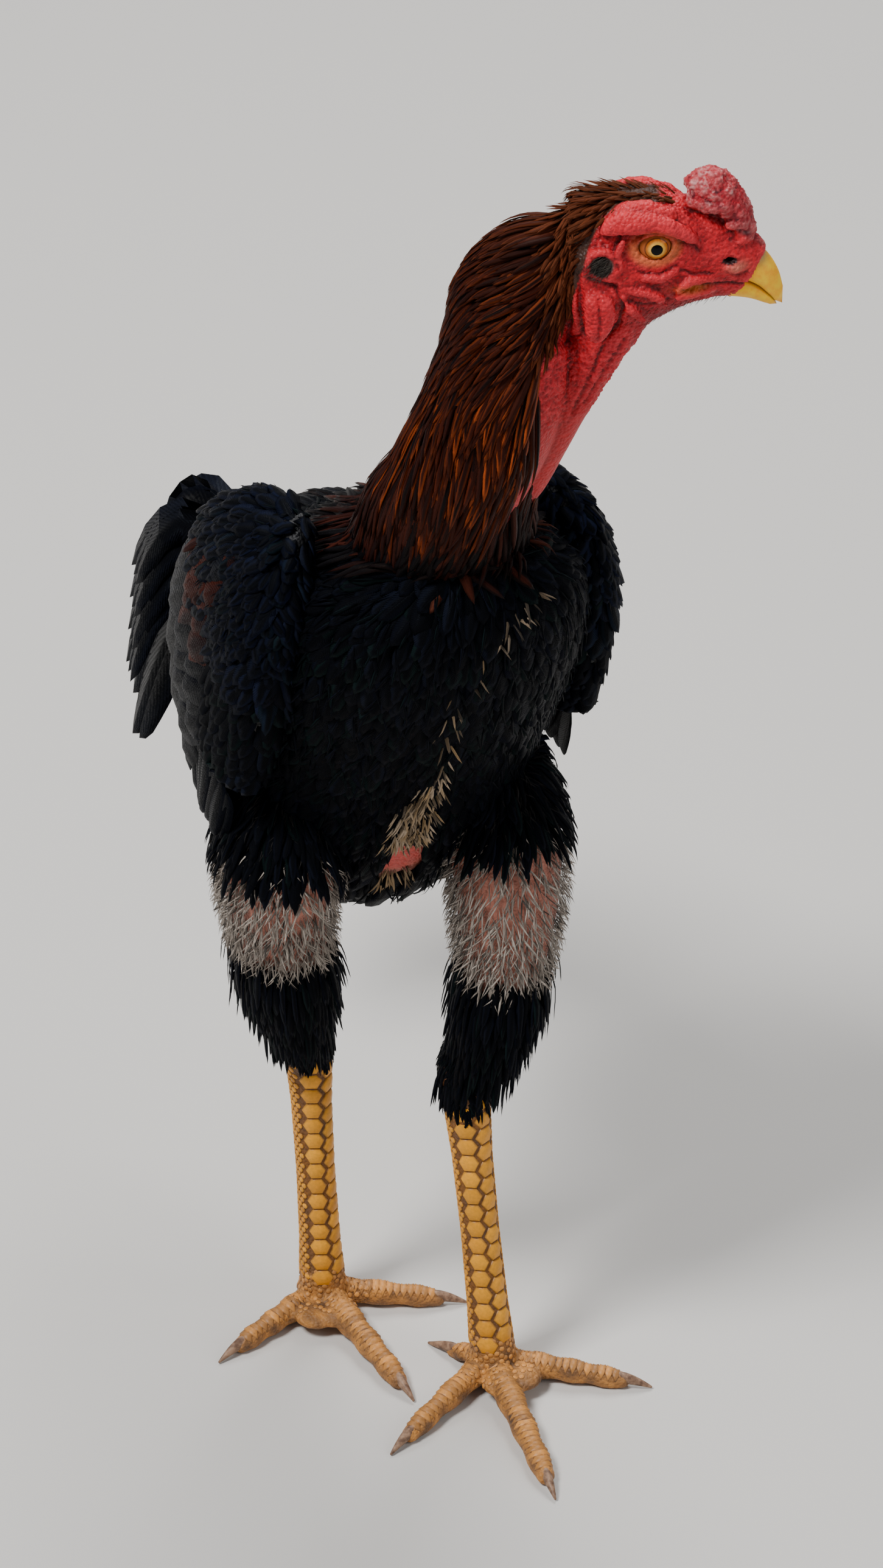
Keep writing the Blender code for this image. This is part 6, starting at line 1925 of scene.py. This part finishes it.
UPPER_BEAK = mm((
    ((31, -20), (34.5, -4), 7.8), ((36, -21), (40.2, -6.6), 7), ((40.5, -23.6), (44.8, -11.2), 5.7),
    ((44.5, -27.6), (48.4, -17.8), 4.1), ((47.2, -30.6), (50.3, -24.6), 2.6),
))
UPPER_TIP = mm((50.3, 0, -32.2))
LOWER_BEAK = mm((
    ((29, -28.4), (31, -19), 6.8), ((33, -28.8), (36, -19.8), 6.2), ((38, -29.8), (40.8, -22.6), 4.8),
    ((42.8, -31.6), (44.8, -26.8), 3.3), ((45.5, -32.6), (47, -29.6), 2),
))
LOWER_TIP = mm((48.2, 0, -32.6))


def build_beak(settings):
    """The hooked upper and the shorter lower half of the beak."""
    material = horn_material("beak_horn", settings.beak_low, settings.beak_high, 0.42, 260, 0.04)
    for name, sections, tip, fullness, dark in (("upper", UPPER_BEAK, UPPER_TIP, 0.3, 1),
            ("lower", LOWER_BEAK, LOWER_TIP, -0.25, 0.6)):
        half = shell("beak_horn_" + name, head_sections(sections), 60, 48, (None, head_point(*tip)), fullness)
        forward, _, up = in_head(points_of(half)).T
        spot = np.exp(-(((forward - 0.041) / 0.0034) ** 2 + ((up + 0.0085) / 0.0036) ** 2))
        line = np.exp(-(((up - np.interp(forward, *zip(*GAPE))) / 0.0007) ** 2)) * dark
        paint(half, "tint", mix(np.tile((0.1, 0.115, 0.15), (len(up), 1)), (0.1, 0.045, 0.015),
            np.clip(line, 0, 1)))
        keep_values(half, "stain", np.clip(np.clip(spot * 0.85, 0, 1) + line * 0.7, 0, 1))
        hand_in(half, material, ["beak_" + name])


def build_claws(settings):
    """A curved claw at the end of each toe."""
    material = horn_material("claw_horn", (0.11, 0.058, 0.036), (0.33, 0.2, 0.125), 0.42, 400, 0.05)
    for _, side in SIDES:
        for toe in TOES[side]:
            start, along, length, radius, _ = toe_shape(side, toe)
            base = radius * TOE_TAPER
            rows = []
            for place in np.linspace(-0.22, 1, 9):
                middle = start + along * (length + CLAW_LENGTH * place)
                middle.z = base + 0.0008 - CLAW_DROOP * max(place, 0) ** 1.6
                size = CLAW_RADIUS * (1 - 0.8 * max(place, 0) ** 1.5)
                middle.z = max(middle.z, size * 0.9 + 0.0002)
                rows.append((middle + UP * size, middle - UP * size * 0.85, size * 0.8))
            claw = shell("nail_{}_{}".format(toe, side), rows, 28, 18)
            paint(claw, "tint", (0.08, 0.06, 0.05))
            hand_in(claw, material, ["claw_{}_{}".format(toe, side)])


class Plates:
    """Raised scales gathered for one piece: each is a closed domed plate on a curved surface."""

    def __init__(self, name):
        self.name = name
        self.points, self.faces, self.colours = [], [], []

    def add(self, surface, around, along, half_around, half_along, corners, dome, sunk, colour):
        """A plate whose middle and size are given in the surface's own directions."""
        base = len(self.points)
        for lift, grow in ((-sunk, 0.98), (dome * 0.1, 1), (dome * 0.85, 0.8)):
            for corner in range(corners):
                angle = TAU * (corner + 0.5 * (corners == 4)) / corners
                u = around + half_around * grow * math.cos(angle)
                v = along + half_along * grow * math.sin(angle)
                self.points.append(surface(u, v, lift))
        self.points.append(surface(around, along, -sunk))
        self.points.append(surface(around, along, dome))
        low, top = base + 3 * corners, base + 3 * corners + 1
        for corner in range(corners):
            after = (corner + 1) % corners
            self.faces.append((low, base + after, base + corner))
            for ring in range(2):
                a, b = base + ring * corners + corner, base + ring * corners + after
                self.faces.append((a, b, b + corners, a + corners))
            self.faces.append((base + 2 * corners + corner, base + 2 * corners + after, top))
        self.colours += [mixed(colour, GRIME, 0.92)] * corners + [mixed(colour, GRIME, 0.72)] * corners
        self.colours += [colour] * corners + [colour, colour]

    def build(self, material, slot):
        mesh = bpy.data.meshes.new(self.name)
        mesh.from_pydata([tuple(point) for point in self.points], [], self.faces)
        obj = edit_mesh(new_object(self.name, mesh), ALL, OUTWARDS)
        paint(obj, "tint", np.array(self.colours))
        hand_in(obj, material)


def shank_surface(side):
    """The shank's surface by metres round it from its front, metres up it and metres out of it."""
    _, up, front, foot, hock = leg_frame(side)
    across = up.cross(front)
    length = (hock - foot).length
    shares, widths, depths = zip(*SHANK_PROFILE)
    places = [share * length for share in shares]

    def surface(around, along, lift):
        half_width = np.interp(along, places, widths) + lift - SHANK_DEPTH
        half_depth = np.interp(along, places, depths) + lift - SHANK_DEPTH
        angle = around / SHANK_RADIUS
        middle = foot + up * along
        return middle + front * (half_depth * math.cos(angle)) + across * (half_width * math.sin(angle))

    return surface, length


def toe_surface(side, toe):
    """A toe's surface by metres round it from its top, metres ahead along it and metres out of it."""
    start, along, length, radius, shape = toe_shape(side, toe)
    across = UP.cross(along)

    def surface(around, ahead, lift):
        height, size = shape(clamp(ahead / length))
        reach = size + lift
        angle = around / radius
        middle = start + along * ahead + UP * height
        return middle + UP * (reach * math.cos(angle)) + across * (reach * 0.95 * math.sin(angle))

    return surface, length, radius


def build_scutes(settings):
    """Two rows of large plates down each shank's front, small scales behind and plates along the toes."""
    shader = Shader("scale_horn")
    fine = shader.noise(700, 4)
    colour = shader.shade(shader.attribute("tint"), 0.7 + fine * 0.6)
    material = shader.finish(Base_Color=colour, Roughness=0.36 + fine * 0.2, Specular_IOR_Level=0.35,
        Normal=shader.bump(fine, 0.35, 0.0004))
    chance = random.Random(61)
    draw = chance.uniform
    skin = Guide(bpy.data.objects["skin"])
    for _, side in SIDES:
        plates = Plates("scutes_" + side)
        surface, length = shank_surface(side)
        pitch = length / settings.scutes_per_row
        for row in (-1, 1):
            for number in range(settings.scutes_per_row):
                along = pitch * (number + 0.5 + 0.25 * row)
                colour = varied(mixed(settings.shank_yellow, SHANK_DARK, draw(0, 0.35)), chance, 0.12)
                plates.add(surface, row * 0.0047, along, 0.0053, pitch * 0.57, 6, 0.0008, 0.0012, colour)
        small = SMALL_SCALE
        for up in range(int(length / (small * 0.86))):
            along = (up + 0.5) * small * 0.86
            for number in range(40):
                around = SMALL_SCALE_START + number * small + (0.5 * small if up % 2 else 0)
                if around > SHANK_ROUND - SMALL_SCALE_START:
                    break
                colour = varied(mixed(settings.shank_yellow, SHANK_DARK, draw(0.1, 0.6)), chance, 0.15)
                plates.add(surface, around, along, small * 0.52, small * 0.46, 6, 0.0006, 0.0008, colour)
        for toe in TOES[side]:
            toe_face, reach, radius = toe_surface(side, toe)
            count = round((reach - 0.01) / 0.0032)
            for number in range(count):
                ahead = 0.01 + (reach - 0.011) * (number + 0.5) / count
                colour = varied(mixed(settings.toe_orange, GRIME, draw(0.1, 0.6)), chance, 0.15)
                half = (reach - 0.011) / count * 0.58
                plates.add(toe_face, 0, ahead, radius * 1.3, half, 6, 0.0008, 0.001, colour)
        foot = leg_frame(side)[3]

        def spacing(place, normal):
            flat = math.hypot(place.x - foot.x, place.y - foot.y)
            if flat > 0.021 or not 0.006 < place.z < 0.026 or normal.z < 0:
                return None
            return 0.0022

        for place, normal in skin.scatter(71, 90000, spacing):
            one = normal.orthogonal().normalized()
            two = normal.cross(one)
            colour = varied(mixed(settings.toe_orange, GRIME, draw(0, 0.5)), chance, 0.15)
            plates.add(lambda u, v, lift: place + one * u + two * v + normal * lift, 0, 0, 0.0014, 0.0014, 6,
                0.0004, 0.0008, colour)
        plates.build(material, "leg_scale")


# Lights: place, size and share of the main light's power
LIGHTS = (
    ("key", (-1.7, -0.4, 2.9), 0.8, 1),
    ("fill", (1.6, -1.9, 1.6), 1.8, 0.22),
    ("top", (0.8, 1.4, 2.6), 1.4, 0.6),
)


def build_stage(settings):
    """A plain pale floor, soft light and the camera."""
    deselect()
    bpy.ops.mesh.primitive_plane_add(size=14)
    floor = bpy.context.object
    floor.name = "floor"
    shader = Shader("floor")
    floor.data.materials.append(shader.finish(Base_Color=(0.62, 0.6, 0.57), Roughness=0.9))
    world = bpy.data.worlds.new("studio")
    world.use_nodes = True
    world.node_tree.nodes["Background"].inputs["Color"].default_value = (0.86, 0.9, 1, 1)
    world.node_tree.nodes["Background"].inputs["Strength"].default_value = settings.sky_strength
    bpy.context.scene.world = world
    target = Vector((0, 0, 0.32))
    for name, place, size, share in LIGHTS:
        light = bpy.data.lights.new(name, "AREA")
        light.energy, light.size = settings.key_power * share, size
        lamp = new_object(name, light)
        lamp.location = place
        lamp.rotation_euler = (target - Vector(place)).to_track_quat("-Z", "Y").to_euler()
    camera = bpy.data.cameras.new("camera")
    camera.sensor_width, camera.lens = SENSOR, CAMERA_LENS
    camera.clip_start, camera.clip_end = 0.05, 60
    viewer = new_object("camera", camera)
    viewer.location = CAMERA_PLACE
    level = math.cos(CAMERA_PITCH)
    forward = Vector((math.sin(CAMERA_TURN) * level, math.cos(CAMERA_TURN) * level, -math.sin(CAMERA_PITCH)))
    viewer.rotation_euler = forward.to_track_quat("-Z", "Y").to_euler()
    bpy.context.scene.camera = viewer


def length(name, description, default, low, high):
    return bpy.props.FloatProperty(name=name, description=description, default=default, min=low, max=high,
        precision=5, unit="LENGTH")


def number(name, description, default, low, high):
    return bpy.props.IntProperty(name=name, description=description, default=default, min=low, max=high)


def colour(name, description, default):
    return bpy.props.FloatVectorProperty(name=name, description=description, default=default, size=3, min=0,
        max=1, subtype="COLOR")


class GamecockSettings(bpy.types.PropertyGroup):
    """Sizes, counts and colours of the bird's looks."""

    skin_voxel: length("Skin grain", "Size of the skin's smallest forms", 0.0009, 0.0004, 0.003)
    contour_spacing: length("Body feather spacing", "Distance between the body's feathers", 0.0037, 0.002,
        0.02)
    covert_spacing: length("Wing feather spacing", "Distance between the wing's small feathers", 0.0041,
        0.003, 0.02)
    down_spacing: length("Thigh down spacing", "Distance between the thigh's tufts", 0.0015, 0.001, 0.02)
    hackle_tiers: number("Hackle tiers", "Tiers of neck feathers", 42, 6, 60)
    hackle_count: number("Hackle feathers", "Feathers in a tier of the neck", 58, 8, 90)
    saddle_count: number("Saddle feathers", "Narrow feathers over the rump", 520, 20, 1200)
    ear_bristles: number("Ear bristles", "Bristles over one ear", 260, 20, 900)
    scutes_per_row: number("Shank plates", "Large plates in a row down the shank", 15, 5, 24)
    skin_red: colour("Skin red", "Colour of the bare face and neck", (0.5, 0.007, 0.015))
    comb_red: colour("Comb red", "Colour of the comb under its crust", (0.38, 0.008, 0.018))
    hackle_red: colour("Hackle red", "Red brown of the neck feathers", (0.15, 0.03, 0.009))
    hackle_orange: colour("Hackle orange", "Brightest edges of the neck feathers", (0.33, 0.058, 0.012))
    crown_brown: colour("Crown brown", "Colour of the crown's short feathers", (0.11, 0.035, 0.016))
    strip_buff: colour("Strip buff", "Darker colour of the pale strip down the breast", (0.42, 0.27, 0.13))
    down_grey: colour("Down grey", "Darker colour of the thigh down", (0.27, 0.225, 0.19))
    iris_yellow: colour("Iris yellow", "Colour of the iris next to the pupil", (0.8, 0.42, 0.06))
    beak_low: colour("Beak yellow", "Darker yellow of the beak's horn", (0.92, 0.37, 0.0015))
    beak_high: colour("Beak light", "Lighter yellow of the beak's horn", (0.98, 0.57, 0.004))
    shank_yellow: colour("Shank yellow", "Colour of the shanks' plates", (0.8, 0.34, 0.012))
    toe_orange: colour("Toe orange", "Colour of the toes' plates", (0.66, 0.28, 0.06))
    key_power: bpy.props.FloatProperty(name="Key light", description="Power of the main light in watts",
        default=112, min=1, max=400)
    sky_strength: bpy.props.FloatProperty(name="Sky", description="Strength of the light from all round",
        default=0.17, min=0, max=3)


class GAMECOCK_OT_skin(bpy.types.Operator):
    """Builds the one skin over head, body and legs"""

    bl_idname = "gamecock.skin"
    bl_label = "Build Skin"

    def execute(self, context):
        build_skin(context.scene.gamecock)
        return {"FINISHED"}


class GAMECOCK_OT_eyes(bpy.types.Operator):
    """Builds the two eyeballs"""

    bl_idname = "gamecock.eyes"
    bl_label = "Build Eyes"

    def execute(self, context):
        build_eyes(context.scene.gamecock)
        return {"FINISHED"}


class GAMECOCK_OT_beak(bpy.types.Operator):
    """Builds both halves of the beak"""

    bl_idname = "gamecock.beak"
    bl_label = "Build Beak"

    def execute(self, context):
        build_beak(context.scene.gamecock)
        return {"FINISHED"}


class GAMECOCK_OT_claws(bpy.types.Operator):
    """Builds a claw on each toe"""

    bl_idname = "gamecock.claws"
    bl_label = "Build Claws"

    def execute(self, context):
        build_claws(context.scene.gamecock)
        return {"FINISHED"}


class GAMECOCK_OT_scutes(bpy.types.Operator):
    """Builds the plates of shanks and toes"""

    bl_idname = "gamecock.scutes"
    bl_label = "Build Scutes"

    def execute(self, context):
        build_scutes(context.scene.gamecock)
        return {"FINISHED"}


class GAMECOCK_OT_under_plumage(bpy.types.Operator):
    """Lays dark feathers close to the skin"""

    bl_idname = "gamecock.under_plumage"
    bl_label = "Build Under Plumage"

    def execute(self, context):
        build_under_plumage(context.scene.gamecock)
        return {"FINISHED"}


class GAMECOCK_OT_body_feathers(bpy.types.Operator):
    """Lays the feathers of breast, flanks and back"""

    bl_idname = "gamecock.body_feathers"
    bl_label = "Build Body Feathers"

    def execute(self, context):
        build_body_feathers(context.scene.gamecock)
        return {"FINISHED"}


class GAMECOCK_OT_hackle(bpy.types.Operator):
    """Lays the long neck feathers"""

    bl_idname = "gamecock.hackle"
    bl_label = "Build Hackle"

    def execute(self, context):
        build_hackle(context.scene.gamecock)
        return {"FINISHED"}


class GAMECOCK_OT_crown(bpy.types.Operator):
    """Lays the short feathers of the crown and nape"""

    bl_idname = "gamecock.crown"
    bl_label = "Build Crown"

    def execute(self, context):
        build_crown(context.scene.gamecock)
        return {"FINISHED"}


class GAMECOCK_OT_wings(bpy.types.Operator):
    """Lays the feathers of both wings"""

    bl_idname = "gamecock.wings"
    bl_label = "Build Wings"

    def execute(self, context):
        build_wings(context.scene.gamecock)
        return {"FINISHED"}


class GAMECOCK_OT_saddle(bpy.types.Operator):
    """Lays the narrow feathers of the rump"""

    bl_idname = "gamecock.saddle"
    bl_label = "Build Saddle"

    def execute(self, context):
        build_saddle(context.scene.gamecock)
        return {"FINISHED"}


class GAMECOCK_OT_tail(bpy.types.Operator):
    """Lays the tail feathers and sickles"""

    bl_idname = "gamecock.tail"
    bl_label = "Build Tail"

    def execute(self, context):
        build_tail(context.scene.gamecock)
        return {"FINISHED"}


class GAMECOCK_OT_thigh_down(bpy.types.Operator):
    """Lays the down of both thighs"""

    bl_idname = "gamecock.thigh_down"
    bl_label = "Build Thigh Down"

    def execute(self, context):
        build_thigh_down(context.scene.gamecock)
        return {"FINISHED"}


class GAMECOCK_OT_bristles(bpy.types.Operator):
    """Lays the bristles of ears and face"""

    bl_idname = "gamecock.bristles"
    bl_label = "Build Bristles"

    def execute(self, context):
        build_bristles(context.scene.gamecock)
        return {"FINISHED"}


class GAMECOCK_OT_stage(bpy.types.Operator):
    """Builds the floor, the light and the camera"""

    bl_idname = "gamecock.stage"
    bl_label = "Build Stage"

    def execute(self, context):
        build_stage(context.scene.gamecock)
        return {"FINISHED"}


OPERATORS = (GAMECOCK_OT_skin, GAMECOCK_OT_eyes, GAMECOCK_OT_beak, GAMECOCK_OT_claws, GAMECOCK_OT_scutes,
    GAMECOCK_OT_under_plumage, GAMECOCK_OT_body_feathers, GAMECOCK_OT_hackle, GAMECOCK_OT_crown,
    GAMECOCK_OT_wings, GAMECOCK_OT_saddle, GAMECOCK_OT_tail, GAMECOCK_OT_thigh_down, GAMECOCK_OT_bristles,
    GAMECOCK_OT_stage)


class GAMECOCK_PT_panel(bpy.types.Panel):
    """Lists the bird's build steps and settings."""

    bl_idname = "GAMECOCK_PT_panel"
    bl_label = "Gamecock"
    bl_space_type = "VIEW_3D"
    bl_region_type = "UI"
    bl_category = "Gamecock"

    def draw(self, context):
        for name in GamecockSettings.__annotations__:
            self.layout.prop(context.scene.gamecock, name)
        for operator in OPERATORS:
            self.layout.operator(operator.bl_idname)


def register():
    for cls in (GamecockSettings, *OPERATORS, GAMECOCK_PT_panel):
        bpy.utils.register_class(cls)
    bpy.types.Scene.gamecock = bpy.props.PointerProperty(type=GamecockSettings)


def unregister():
    del bpy.types.Scene.gamecock
    for cls in reversed((GamecockSettings, *OPERATORS, GAMECOCK_PT_panel)):
        bpy.utils.unregister_class(cls)


def main():
    register()
    for operator in OPERATORS:
        getattr(bpy.ops.gamecock, operator.bl_idname.partition(".")[2])()


if __name__ == "__main__":
    main()
